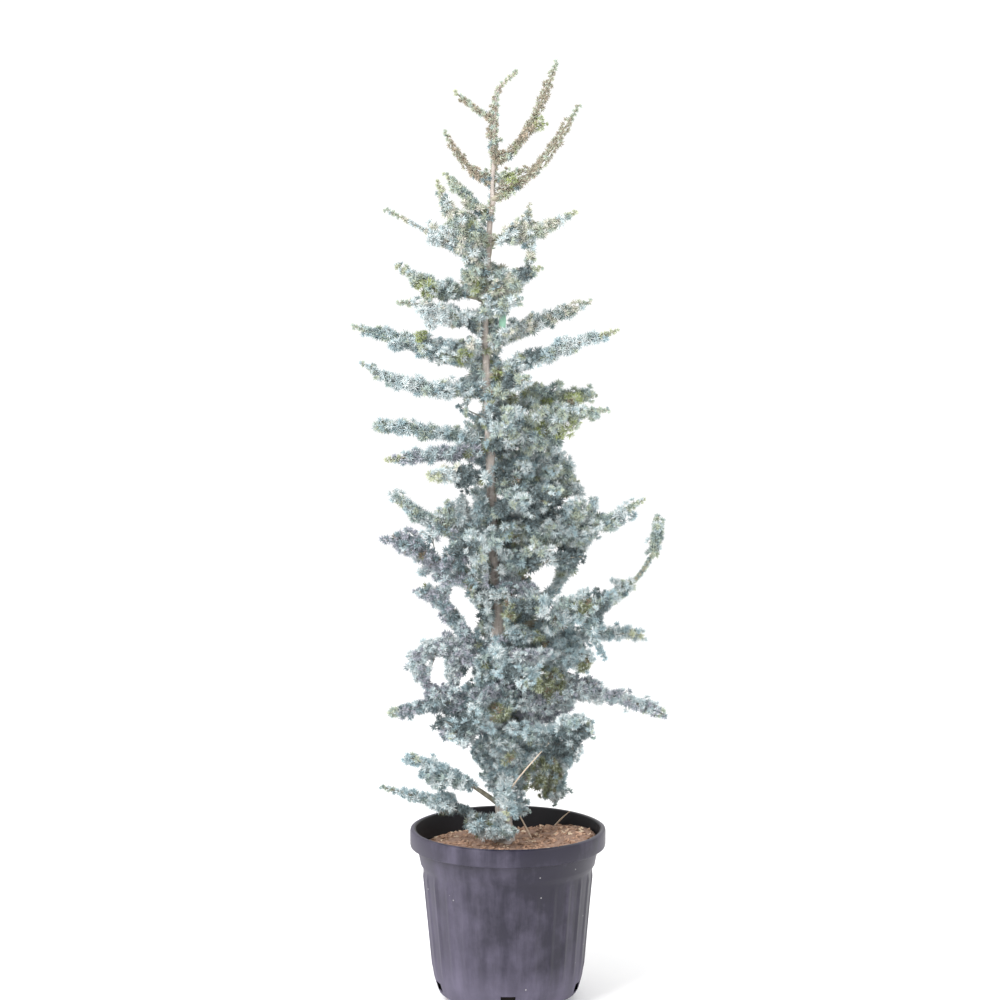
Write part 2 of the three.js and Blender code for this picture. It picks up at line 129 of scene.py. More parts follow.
# recycled polypropylene, injection moulded: violet charcoal, soft sheen, pale dust that gathers at the foot
# and runs in streaks, painted light that makes the left side paler and the right side darker, and small
# chalky specks
def pottedPlastic():
    material, tree, shader = startMaterial("moulded_polypropylene", {"IOR": 1.49, "Specular IOR Level": 0.4})
    place = addNode(tree, "TexCoord", {}).outputs["Object"]
    axes = addNode(tree, "SeparateXYZ", {"Vector": place}).outputs
    streak = noiseOf(tree, scaled(tree, place, (1, 1, 0.12)), 26, 5, 0.6)
    cloud = noiseOf(tree, place, 70, 6, 0.62)
    low = remap(tree, axes["Z"], 0.0, 0.27, 1.0, 0.0)
    streaky = remap(tree, reckon(tree, "MULTIPLY", streak, cloud), 0.18, 0.37, 0.0, 0.55)
    dust = reckon(tree, "MULTIPLY_ADD", reckon(tree, "POWER", low, 1.6), 0.45, streaky)
    # painted light: paler on the left and darker on the right, as if lit from the left
    side = remap(tree, axes["X"], -0.15, 0.07, 0.32, -0.25)
    foot = remap(tree, axes["Z"], 0.045, 0.095, 0.45, 0.0)
    # real dust at the foot and in streaks, plus the painted side light
    dustAndSideLight = reckon(tree, "ADD", dust, reckon(tree, "ADD", side, foot))
    dustAndPaintedLight = reckon(tree, "MULTIPLY", dustAndSideLight, 0.75, use_clamp=True)
    coat = blend(tree, dustAndPaintedLight, blend(tree, cloud, "#161320", "#252134"), "#615c6e")
    speck = remap(tree, cellsOf(tree, place, 34).outputs["Distance"], 0.03, 0.05, 0.5, 0.0)
    wireUp(tree, shader, {
        "Base Color": blend(tree, speck, coat, "#c9c7c6"),
        "Roughness": remap(tree, dustAndPaintedLight, 0.0, 1.0, 0.36, 0.8),
        "Normal": bumpOf(tree, noiseOf(tree, place, 3.5, 3), 0.12, 0.3),
    })
    return material


# composted bark, sieved and damp: dark crumb with orange-brown fibre, darkened to near black low down as
# painted shade where it shows through the drain slots
def compostedBark():
    material, tree, shader = startMaterial("composted_bark", {"Roughness": 0.95, "Specular IOR Level": 0.2})
    place = addNode(tree, "TexCoord", {}).outputs["Object"]
    crumb = noiseOf(tree, place, 9, 7, 0.7)
    patch = noiseOf(tree, place, 60, 2)
    # the mix's own colour, without the painted shade
    dry = blend(tree, patch, blend(tree, remap(tree, crumb, 0.35, 0.66), "#5f4a40", "#b19583"), "#9d8171")
    height = addNode(tree, "SeparateXYZ", {"Vector": place}).outputs["Z"]
    # painted shade: near black low down, where the mix shows through the drain slots
    paintedShadeLow = remap(tree, height, 0.1, 0.25, 1.0, 0.0)
    colour = blend(tree, paintedShadeLow, dry, "#14110f")
    wireUp(tree, shader, {"Base Color": colour, "Normal": bumpOf(tree, crumb, 0.8, 3)})
    return material


# pine bark chips, torn: orange-brown faces, grey outer bark and straw-pale splinters, by the chip
def pineBarkChip():
    material, tree, shader = startMaterial("pine_bark_chip", {"Roughness": 0.9, "Specular IOR Level": 0.25})
    place = addNode(tree, "TexCoord", {}).outputs["Object"]
    pick = addNode(tree, "SeparateColor", {"Color": cellsOf(tree, place, 11).outputs["Color"]}).outputs
    fibre = noiseOf(tree, place, 4, 4)
    splinter = remap(tree, pick[1], 0.80, 0.92)
    mixed = blend(tree, splinter, blend(tree, pick[0], "#7f6350", "#c7a38b"), "#dcc7ad")
    shade = remap(tree, fibre, 0.3, 0.7, 0.65, 1.1)
    colour = addNode(tree, "VectorMath", {0: mixed, "Scale": shade}, operation="SCALE").outputs[0]
    wireUp(tree, shader, {"Base Color": colour, "Normal": bumpOf(tree, fibre, 0.5, 0.8)})
    return material


# young cedar bark: thin and smooth, grey over pinkish brown, with level rows of pale pores
def cedarBark(name, dark, light, pore):
    material, tree, shader = startMaterial(name, {"Roughness": 0.85, "Specular IOR Level": 0.25})
    place = addNode(tree, "TexCoord", {}).outputs["Object"]
    pores = noiseOf(tree, scaled(tree, place, (1, 1, 2.6)), 9, 4, 0.65)
    grain = noiseOf(tree, scaled(tree, place, (1, 1, 0.16)), 7, 5, 0.6)
    base = blend(tree, remap(tree, grain, 0.32, 0.68), dark, light)
    dots = remap(tree, pores, 0.56, 0.68, 0.0, 0.7)
    colour = blend(tree, dots, base, pore)
    wireUp(tree, shader, {"Base Color": colour, "Normal": bumpOf(tree, grain, 0.55, 0.9)})
    return material


# one even colour, for finishes with no pattern of their own
def plainFinish(name, hexCode, roughness, extra):
    values = {"Base Color": linear(hexCode), "Roughness": roughness, **extra}
    return startMaterial(name, values)[0]


def addPiece(name, mesh, materials, replaced):
    piece = bpy.data.objects.new(name, mesh)
    for material in materials:
        mesh.materials.append(material)
    bpy.context.scene.collection.objects.link(piece)
    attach(piece, "root")
    if replaced:
        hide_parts(*replaced)
    return piece


def meshFrom(bm, name, smooth):
    mesh = bpy.data.meshes.new(name)
    for face in bm.faces:
        face.smooth = smooth
    bm.to_mesh(mesh)
    bm.free()
    return mesh


# nursery pot, sizes in mm as (radius, height) down the outside, over the rim and down the inside
potSet = {
    "outside": [(0, 0), (104, 0), (109, 1.5), (131, 17), (134.5, 23.5), (140, 42), (141.5, 48), (160.4, 251),
                (161, 256), (165.4, 263), (166, 267), (171.5, 293), (172, 296), (181, 296)],
    "rim": [(184.2, 297.5), (185, 301), (185, 325), (184, 328.6), (181, 330), (177, 330), (174.4, 328.8)],
    "inside": [(173.4, 325), (169, 296), (163, 267), (158, 256), (138.5, 48), (137, 42), (131.5, 23.5),
               (128, 17), (106, 5), (0, 4)],
    "wall": slice(6, 8), "wallCuts": 17, "turns": 252, "sharpFrom": 38, "ribs": 28, "ribFlat": 2.52,
    "ribSlope": 3.6, "ribProud": 2.0, "ribFoot": 56, "ribHead": 252, "ribEase": 9,
    "drains": 5, "drainWidth": 28, "drainFoot": 23.5, "drainHead": 42, "drainOutside": 120,
    "pinch": 1.2, "pinchRadius": 170, "pinchFrom": 20, "pinchWaves": (5, 5, 3),
}


def spinUp(profile, steps):
    bm = bmesh.new()
    verts = [bm.verts.new((r * mm, 0, z * mm)) for r, z in profile]
    edges = [bm.edges.new(pair) for pair in zip(verts, verts[1:])]
    bmesh.ops.spin(bm, geom=verts + edges, axis=(0, 0, 1), cent=(0, 0, 0), angle=2 * math.pi, steps=steps,
                   use_merge=True)
    bmesh.ops.remove_doubles(bm, verts=bm.verts, dist=1e-5)
    bmesh.ops.recalc_face_normals(bm, faces=bm.faces)
    return bm


def makePot():
    bm = spinUp(potSet["outside"] + potSet["rim"] + potSet["inside"], potSet["turns"])

    # rings up the fluted wall, so that the ribs are real
    (footRadius, footHeight), (headRadius, headHeight) = potSet["outside"][potSet["wall"]]

    def upWall(edge):
        low, high = sorted(v.co.z / mm for v in edge.verts)
        return abs(low - footHeight) < 1 and -1 < high - headHeight < 6
    bmesh.ops.subdivide_edges(bm, edges=[e for e in bm.edges if upWall(e)], cuts=potSet["wallCuts"],
                              use_grid_fill=True)
    for v in bm.verts:
        r, z = v.co.xy.length / mm, v.co.z / mm
        wall = footRadius + (z - footHeight) * (headRadius - footRadius) / (headHeight - footHeight)
        if not footHeight + 0.5 < z < headHeight - 0.5 or abs(r - wall) > 1:
            continue
        turn = math.atan2(v.co.y, v.co.x) / (2 * math.pi) * potSet["ribs"]
        aside = abs(turn - math.floor(turn) - 0.5) * 2 * math.pi * r / potSet["ribs"]
        across = 1 - min(1, max(0, (aside - potSet["ribFlat"]) / potSet["ribSlope"]))
        ends = min(1, min(z - potSet["ribFoot"], potSet["ribHead"] - z) / potSet["ribEase"])
        lift = potSet["ribProud"] * across * max(0, ends)
        v.co.xy *= 1 + lift / r

    # drain slots through the heel, their two walls joined by a sill
    for i in range(potSet["drains"]):
        middle = -math.pi / 2 + i * 2 * math.pi / potSet["drains"]

        def inSlot(face):
            c = face.calc_center_median()
            away = (math.atan2(c.y, c.x) - middle + math.pi) % (2 * math.pi) - math.pi
            across = abs(away) * c.xy.length / mm < potSet["drainWidth"] / 2
            level = potSet["drainFoot"] < c.z / mm < potSet["drainHead"]
            return across and level and c.xy.length > potSet["drainOutside"] * mm
        faces = [f for f in bm.faces if inSlot(f)]
        edges = {e for f in faces for e in f.edges if sum(g in faces for g in e.link_faces) == 1}
        bmesh.ops.delete(bm, geom=faces, context="FACES_ONLY")
        loose = [e for e in bm.edges if e.is_valid and not e.link_faces and e not in edges]
        bmesh.ops.delete(bm, geom=loose, context="EDGES")
        bmesh.ops.bridge_loops(bm, edges=[e for e in edges if e.is_valid])
    bmesh.ops.delete(bm, geom=[v for v in bm.verts if not v.link_faces], context="VERTS")
    # a soft pot is never quite round
    for v in bm.verts:
        if v.co.z > potSet["pinchFrom"] * mm:
            swell = noise.noise(Vector([c * waves for c, waves in zip(v.co, potSet["pinchWaves"])]))
            v.co.xy *= 1 + potSet["pinch"] / potSet["pinchRadius"] * swell
    bm.normal_update()
    # faces that look inward take the near black finish, painted shade inside the pot
    for face in bm.faces:
        facesIn = face.normal.xy.dot(face.calc_center_median().xy) < 0
        face.material_index = 1 if facesIn else 0
    return meshFrom(bm, "pot", True)


# the same plastic inside, without dust, darkened to near black as painted shade inside the pot
dustlessShadedPlastic = plainFinish("painted_shade_polypropylene", "#0d0c12", 0.5, {"Specular IOR Level": 0.3})
pot = addPiece("nursery_pot", makePot(), [pottedPlastic(), dustlessShadedPlastic], ["pot"])
sharp = pot.modifiers.new("edges", "EDGE_SPLIT")
sharp.split_angle = math.radians(potSet["sharpFrom"])
print("pot:", len(pot.data.polygons), "faces")


# potting mix: a plug that fills the pot, its top a low lumpy mound
soilSet = {
    "plug": [(0, 5), (105, 6.5), (127.5, 18), (137.5, 48), (157.5, 255), (162.5, 266)],
    "edge": (166.6, 289), "top": 302, "rings": 26, "turns": 120, "lump": 3.2, "lumpSize": 30,
    "wallCalm": 9, "trunkCalm": 5, "trunkLump": 0.2, "heap": 24, "heapToward": (1.0, -0.1),
}


def soilHeight(x, y):
    share = min(1, math.hypot(x, y) / (soilSet["edge"][0] * mm))
    low, high = soilSet["edge"][1], soilSet["top"]
    lump = noise.fractal(Vector((x, y, 0.3)) / (soilSet["lumpSize"] * mm), 0.9, 2.0, 4)
    # no lumps at the wall, and few round the trunk
    calm = min(1, (1 - share) * soilSet["wallCalm"])
    calm *= min(1, soilSet["trunkLump"] + share * soilSet["trunkCalm"])
    east, north = soilSet["heapToward"]
    toward = min(1, max(0, (x * east + y * north) / (soilSet["edge"][0] * mm)))
    heap = soilSet["heap"] * toward ** 2 * (3 - 2 * toward)
    return (high + (low - high) * share ** 2 + soilSet["lump"] * lump * calm + heap) * mm


def makeSoil():
    radius, edge = soilSet["edge"]
    top = [(radius * (1 - i / soilSet["rings"]), edge) for i in range(soilSet["rings"] + 1)]
    bm = spinUp(soilSet["plug"] + top, soilSet["turns"])
    for v in bm.verts:
        if v.co.z > (edge - 1) * mm:
            v.co.z = soilHeight(v.co.x, v.co.y)
    return meshFrom(bm, "soil", True)


soil = addPiece("potting_mix", makeSoil(), [compostedBark()], ["soil"])
print("potting mix:", len(soil.data.polygons), "faces")


# bark chips lying on the mix, long, short and half sunk
chipSet = {
    "seed": 5, "count": 760, "radius": 163, "outermost": 165,
    "length": (5, 17), "width": (0.3, 0.6), "thick": (0.14, 0.3), "tilt": 0.315, "proud": 0.25, "torn": 0.07,
}


def makeChips():
    rng = np.random.default_rng(chipSet["seed"])
    bm = bmesh.new()
    for i in range(chipSet["count"]):
        out = chipSet["radius"] * mm * math.sqrt(rng.uniform(0.01, 1))
        turn = rng.uniform(0, 2 * math.pi)
        x, y = out * math.cos(turn), out * math.sin(turn)
        length = rng.uniform(*chipSet["length"]) * mm
        wide, thick = rng.uniform(*chipSet["width"]), rng.uniform(*chipSet["thick"])
        size = Vector((length, length * wide, length * thick))
        spot = Matrix.Translation((x, y, soilHeight(x, y) + size.z * chipSet["proud"]))
        turned = Matrix.Rotation(rng.uniform(0, 2 * math.pi), 4, "Z")
        tilted = Matrix.Rotation(rng.normal(0, chipSet["tilt"]), 4, "Y")
        shape = Matrix.Diagonal((*(size / 2), 1))
        made = bmesh.ops.create_icosphere(bm, subdivisions=1, radius=1, matrix=spot @ turned @ tilted @ shape)
        for v in made["verts"]:  # torn, not rounded
            v.co += Vector(rng.uniform(-1, 1, 3) * length * chipSet["torn"])
            v.co.xy *= min(1, chipSet["outermost"] * mm / max(v.co.xy.length, 1e-6))
    return meshFrom(bm, "chips", False)


chips = addPiece("bark_chips", makeChips(), [pineBarkChip()], [])
print("bark chips:", len(chips.data.polygons), "faces")


# trunk axis in mm, with its taper and root flare
trunkSet = {
    "axis": [(-6, 0, 294), (-13, 4, 540), (-30, -4, 950), (-42, 2, 1330), (-29, 0, 1520), (-24, 0, 1676),
             (-20, 0, 1707), (16, -2, 1744)],
    "baseRadius": 14.5, "tipRadius": 1.6, "taper": 0.92, "flare": 9, "flareHeight": 26,
    "points": 400, "sides": 22, "rings": 250, "relief": 0.055, "reliefSize": 16, "sunk": 4,
    "collar": 0.55, "collarHeight": 11, "collarReach": 3,
}


def smoothLine(points, count):
    # an even walk along a centripetal spline through the points
    spanPoints = 60
    p = np.array(points, float)
    p = np.vstack([2 * p[0] - p[1], p, 2 * p[-1] - p[-2]])
    line = []
    for a, b, c, d in zip(p, p[1:], p[2:], p[3:]):
        knots = np.cumsum([0] + [np.linalg.norm(n - m) ** 0.5 for m, n in ((a, b), (b, c), (c, d))])
        t = np.linspace(knots[1], knots[2], spanPoints)[:, None]
        ab = ((knots[1] - t) * a + (t - knots[0]) * b) / (knots[1] - knots[0])
        bc = ((knots[2] - t) * b + (t - knots[1]) * c) / (knots[2] - knots[1])
        cd = ((knots[3] - t) * c + (t - knots[2]) * d) / (knots[3] - knots[2])
        left = ((knots[2] - t) * ab + (t - knots[0]) * bc) / (knots[2] - knots[0])
        right = ((knots[3] - t) * bc + (t - knots[1]) * cd) / (knots[3] - knots[1])
        line.append(((knots[2] - t) * left + (t - knots[1]) * right) / (knots[2] - knots[1]))
    return evenLine(np.vstack(line), count)


def evenLine(points, count):
    steps = np.linalg.norm(np.diff(points, axis=0), axis=1)
    walked = np.concatenate([[0], np.cumsum(steps)])
    marks = np.linspace(0, walked[-1], count)
    return np.stack([np.interp(marks, walked, points[:, i]) for i in range(3)], axis=1)


trunkLine = smoothLine(trunkSet["axis"], trunkSet["points"]) * mm


def trunkPoint(height):
    return np.array([np.interp(height * mm, trunkLine[:, 2], trunkLine[:, i]) for i in range(3)])


def trunkRadius(share, height):
    taper = (trunkSet["baseRadius"] - trunkSet["tipRadius"]) * (1 - share) ** trunkSet["taper"]
    flare = trunkSet["flare"] * math.exp(-max(0, height - trunkSet["axis"][0][2]) / trunkSet["flareHeight"])
    return trunkSet["tipRadius"] + taper + flare


# limb wood, in mm and as shares of the limb's reach and rise
limbSet = {
    "curvePoints": 80, "points": 64, "sides": 8, "rootShare": 0.017, "rootLeast": 1.4, "tipRadius": 0.7,
    "taper": 0.85, "ring": 7, "ringsLeast": 8, "relief": 0.1, "reliefSize": 9,
}
# limbs in mm and degrees: height on the trunk, bearing (0 right, 90 away from the camera), reach
# and rise of the tip, sag of the middle, full radius of the brush, habit
limbTable = [
    ("top_1", 1652, 172, 74, 54, 2, 12, "open"),
    ("top_2", 1590, 96, 16, 92, -4, 17, "open"),
    ("top_3", 1576, 6, 117, 186, 40, 20, "open"),
    ("top_4", 1538, 188, 90, 96, 18, 15, "open"),
    ("top_5", 1510, 348, 162, 171, 29, 21, "open"),
    ("left_1", 1468, 155, 93, 90, 0, 22, "open"),
    ("left_2", 1440, 216, 116, 102, 42, 36, "open"),
    ("left_3", 1392, 172, 190, 100, 0, 40, "open"),
    ("left_4", 1326, 164, 176, 62, 10, 40, "open"),
    ("left_5", 1252, 202, 172, 70, -18, 30, "open"),
    ("left_6", 1194, 170, 254, 80, -4, 40, "rope"),
    ("left_7", 1166, 194, 238, 47, 26, 40, "rope"),
    ("left_8", 1061, 170, 216, 29, -3, 38, "rope"),
    ("left_9", 1045, 204, 208, -9, -2, 32, "rope"),
    ("left_10", 991, 230, 170, 21, -4, 42, "open"),
    ("left_11", 890, 166, 196, 76, 30, 42, "open"),
    ("left_12", 792, 194, 194, 98, 14, 46, "dense"),
    ("left_13", 672, 184, 116, 116, 37, 36, "rope"),
    ("left_14", 648, 172, 160, -28, -44, 38, "rope"),
    ("left_15", 580, 182, 208, -31, -4, 38, "rope"),
    ("left_16", 516, 204, 112, 20, 0, 46, "dense"),
    ("left_17", 366, 206, 206, 118, -14, 40, "open"),
    ("left_18", 328, 180, 234, 80, -4, 34, "open"),
    ("right_1", 1430, 354, 162, 58, 10, 34, "open"),
    ("right_2", 1336, 334, 114, 50, 0, 42, "open"),
    ("right_3", 1236, 12, 200, 85, -2, 34, "rope"),
    ("right_4", 1182, 350, 244, 88, -4, 38, "rope"),
    ("right_5", 1104, 20, 216, 41, -15, 44, "dense"),
    ("right_6", 1046, 348, 224, 78, -20, 44, "dense"),
    ("right_7", 972, 26, 180, 8, -20, 54, "dense"),
    ("right_8", 882, 2, 282, 72, 32, 50, "dense"),
    ("right_9", 806, 336, 180, 50, -8, 50, "dense"),
    ("right_10", 724, 30, 200, 154, 45, 32, "open"),
    ("right_11", 708, 8, 306, 210, 38, 26, "open"),
    ("right_12", 664, 336, 212, 108, 0, 54, "dense"),
    ("right_13", 640, 6, 278, 52, -23, 42, "rope"),
    ("right_14", 524, 356, 310, 23, -53, 42, "rope"),
    ("right_15", 462, 44, 162, -76, -24, 48, "dense"),
    ("front_1", 1146, 304, 138, 44, 0, 44, "open"),
    ("front_2", 1090, 280, 180, 20, -8, 54, "dense"),
    ("front_3", 928, 311, 166, 34, -12, 54, "dense"),
    ("front_4", 866, 254, 182, 10, -8, 56, "dense"),
    ("front_5", 752, 300, 172, 10, -10, 54, "dense"),
    ("front_6", 630, 286, 188, 6, -10, 60, "dense"),
    ("front_7", 550, 240, 184, -14, -10, 56, "dense"),
    ("front_8", 500, 318, 218, 42, -6, 58, "dense"),
    ("front_9", 436, 274, 110, -66, -30, 28, "open"),
    ("front_10", 324, 226, 78, 10, 0, 24, "open"),
    ("back_1", 1376, 84, 120, 66, 8, 32, "open"),
    ("back_2", 1162, 100, 192, 60, 4, 38, "open"),
    ("back_3", 1024, 94, 206, 42, 0, 50, "dense"),
    ("back_4", 836, 100, 218, 40, -8, 54, "dense"),
    ("back_5", 672, 90, 224, 24, -10, 56, "dense"),
    ("back_6", 545, 104, 216, 2, -12, 56, "dense"),
]
limbFields = ("name", "height", "bearing", "reach", "rise", "bow", "brush", "habit")
limbs = [dict(zip(limbFields, row)) for row in limbTable]
carriedOut = {"right_11": 165, "left_14": 72, "right_14": -40}  # mm that a limb's middle is carried outward
bareShare = {"left_5": 0.34, "left_17": 0.32, "right_11": 0.4}  # leafless share from the trunk

for limb in limbs:
    turn = math.radians(limb["bearing"])
    outward = np.array([math.cos(turn), math.sin(turn), 0])
    root = trunkPoint(limb["height"])
    tip = root + (outward * limb["reach"] + upArray * limb["rise"]) * mm
    middle = (root + tip) / 2 + (outward * carriedOut.get(limb["name"], 0) - upArray * 2 * limb["bow"]) * mm
    t = np.linspace(0, 1, limbSet["curvePoints"])[:, None]
    line = (1 - t) ** 2 * root + 2 * t * (1 - t) * middle + t ** 2 * tip
    limb["line"] = evenLine(line, limbSet["points"])
    limb["length"] = np.linalg.norm(np.diff(limb["line"], axis=0), axis=1).sum()
    limb["bare"] = bareShare.get(limb["name"], 0)
    limb["wears"] = limb["name"]


# wood grown ring by ring: a circle drawn out along a line, each ring sized and turned to it
def growWood(bm, points, radiusAt, sides):
    points = [Vector(p) for p in points]
    ring = bmesh.ops.create_circle(bm, segments=sides, radius=1)["verts"]
    edges = list({e for v in ring for e in v.link_edges})
    along = (points[1] - points[0]).normalized()
    across = along.orthogonal().normalized()
    angles = {v: i * 2 * math.pi / sides for i, v in enumerate(ring)}
    firstEdges = edges
    for i, point in enumerate(points):
        along = (points[min(i + 1, len(points) - 1)] - points[max(i - 1, 0)]).normalized()
        across = (across - along * across.dot(along)).normalized()
        beside = along.cross(across)
        if i > 0:
            old = {tuple(v.co): angle for v, angle in angles.items()}
            grown = bmesh.ops.extrude_edge_only(bm, edges=edges)["geom"]
            edges = [g for g in grown if isinstance(g, bmesh.types.BMEdge)]
            angles = {g: old[tuple(g.co)] for g in grown if isinstance(g, bmesh.types.BMVert)}
        for v, angle in angles.items():
            heading = across * math.cos(angle) + beside * math.sin(angle)
            v.co = point + heading * radiusAt(i / (len(points) - 1), point, heading)
    bmesh.ops.edgeloop_fill(bm, edges=firstEdges)
    bmesh.ops.edgeloop_fill(bm, edges=edges)


def makeTrunk():
    bm = bmesh.new()
    line = evenLine(trunkLine, trunkSet["rings"])
    line[0][2] -= trunkSet["sunk"] * mm

    def radiusAt(share, point, heading):
        radius = trunkRadius(share, point.z / mm)
        skin = noise.fractal((point + heading * radius * mm) / (trunkSet["reliefSize"] * mm), 1.0, 2.1, 4)
        radius *= 1 + trunkSet["relief"] * skin
        for limb in limbs:  # a collar swells under each limb
            away = (point.z / mm - limb["height"]) / trunkSet["collarHeight"]
            if abs(away) < trunkSet["collarReach"]:
                turn = math.radians(limb["bearing"])
                facing = max(0, heading.x * math.cos(turn) + heading.y * math.sin(turn))
                stem = (limb["reach"] + abs(limb["rise"])) * limbSet["rootShare"]
                radius += trunkSet["collar"] * stem * facing ** 2 * math.exp(-away * away)
        return radius * mm
    growWood(bm, line, radiusAt, trunkSet["sides"])
    bmesh.ops.recalc_face_normals(bm, faces=bm.faces)
    return meshFrom(bm, "trunk", True)


def limbRadius(limb, share):
    root = max(limbSet["rootLeast"], (limb["reach"] + abs(limb["rise"])) * limbSet["rootShare"])
    return limbSet["tipRadius"] + (root - limbSet["tipRadius"]) * (1 - share) ** limbSet["taper"]


def makeLimbs():
    bm = bmesh.new()
    for limb in limbs:
        def radiusAt(share, point, heading):
            radius = limbRadius(limb, share)
            skin = noise.fractal((point + heading * radius * mm) / (limbSet["reliefSize"] * mm), 1.0, 2.1, 3)
            return radius * (1 + limbSet["relief"] * skin) * mm
        rings = max(limbSet["ringsLeast"], round(limb["length"] / (limbSet["ring"] * mm)))
        growWood(bm, evenLine(limb["line"], rings), radiusAt, limbSet["sides"])
    bmesh.ops.recalc_face_normals(bm, faces=bm.faces)
    return meshFrom(bm, "limbs", True)


trunkBark = cedarBark("young_cedar_bark", "#8b817a", "#bcb3ac", "#d2cbc5")
limbBark = cedarBark("cedar_limb_bark", "#827c6d", "#a39d8c", "#b8b2a3")
trunk = addPiece("trunk_bark", makeTrunk(), [trunkBark], ["trunk"])
boughs = [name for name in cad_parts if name.startswith("bough_")]
limbPiece = addPiece("limb_wood", makeLimbs(), [limbBark], boughs)
print("wood:", len(trunk.data.polygons) + len(limbPiece.data.polygons), "faces")


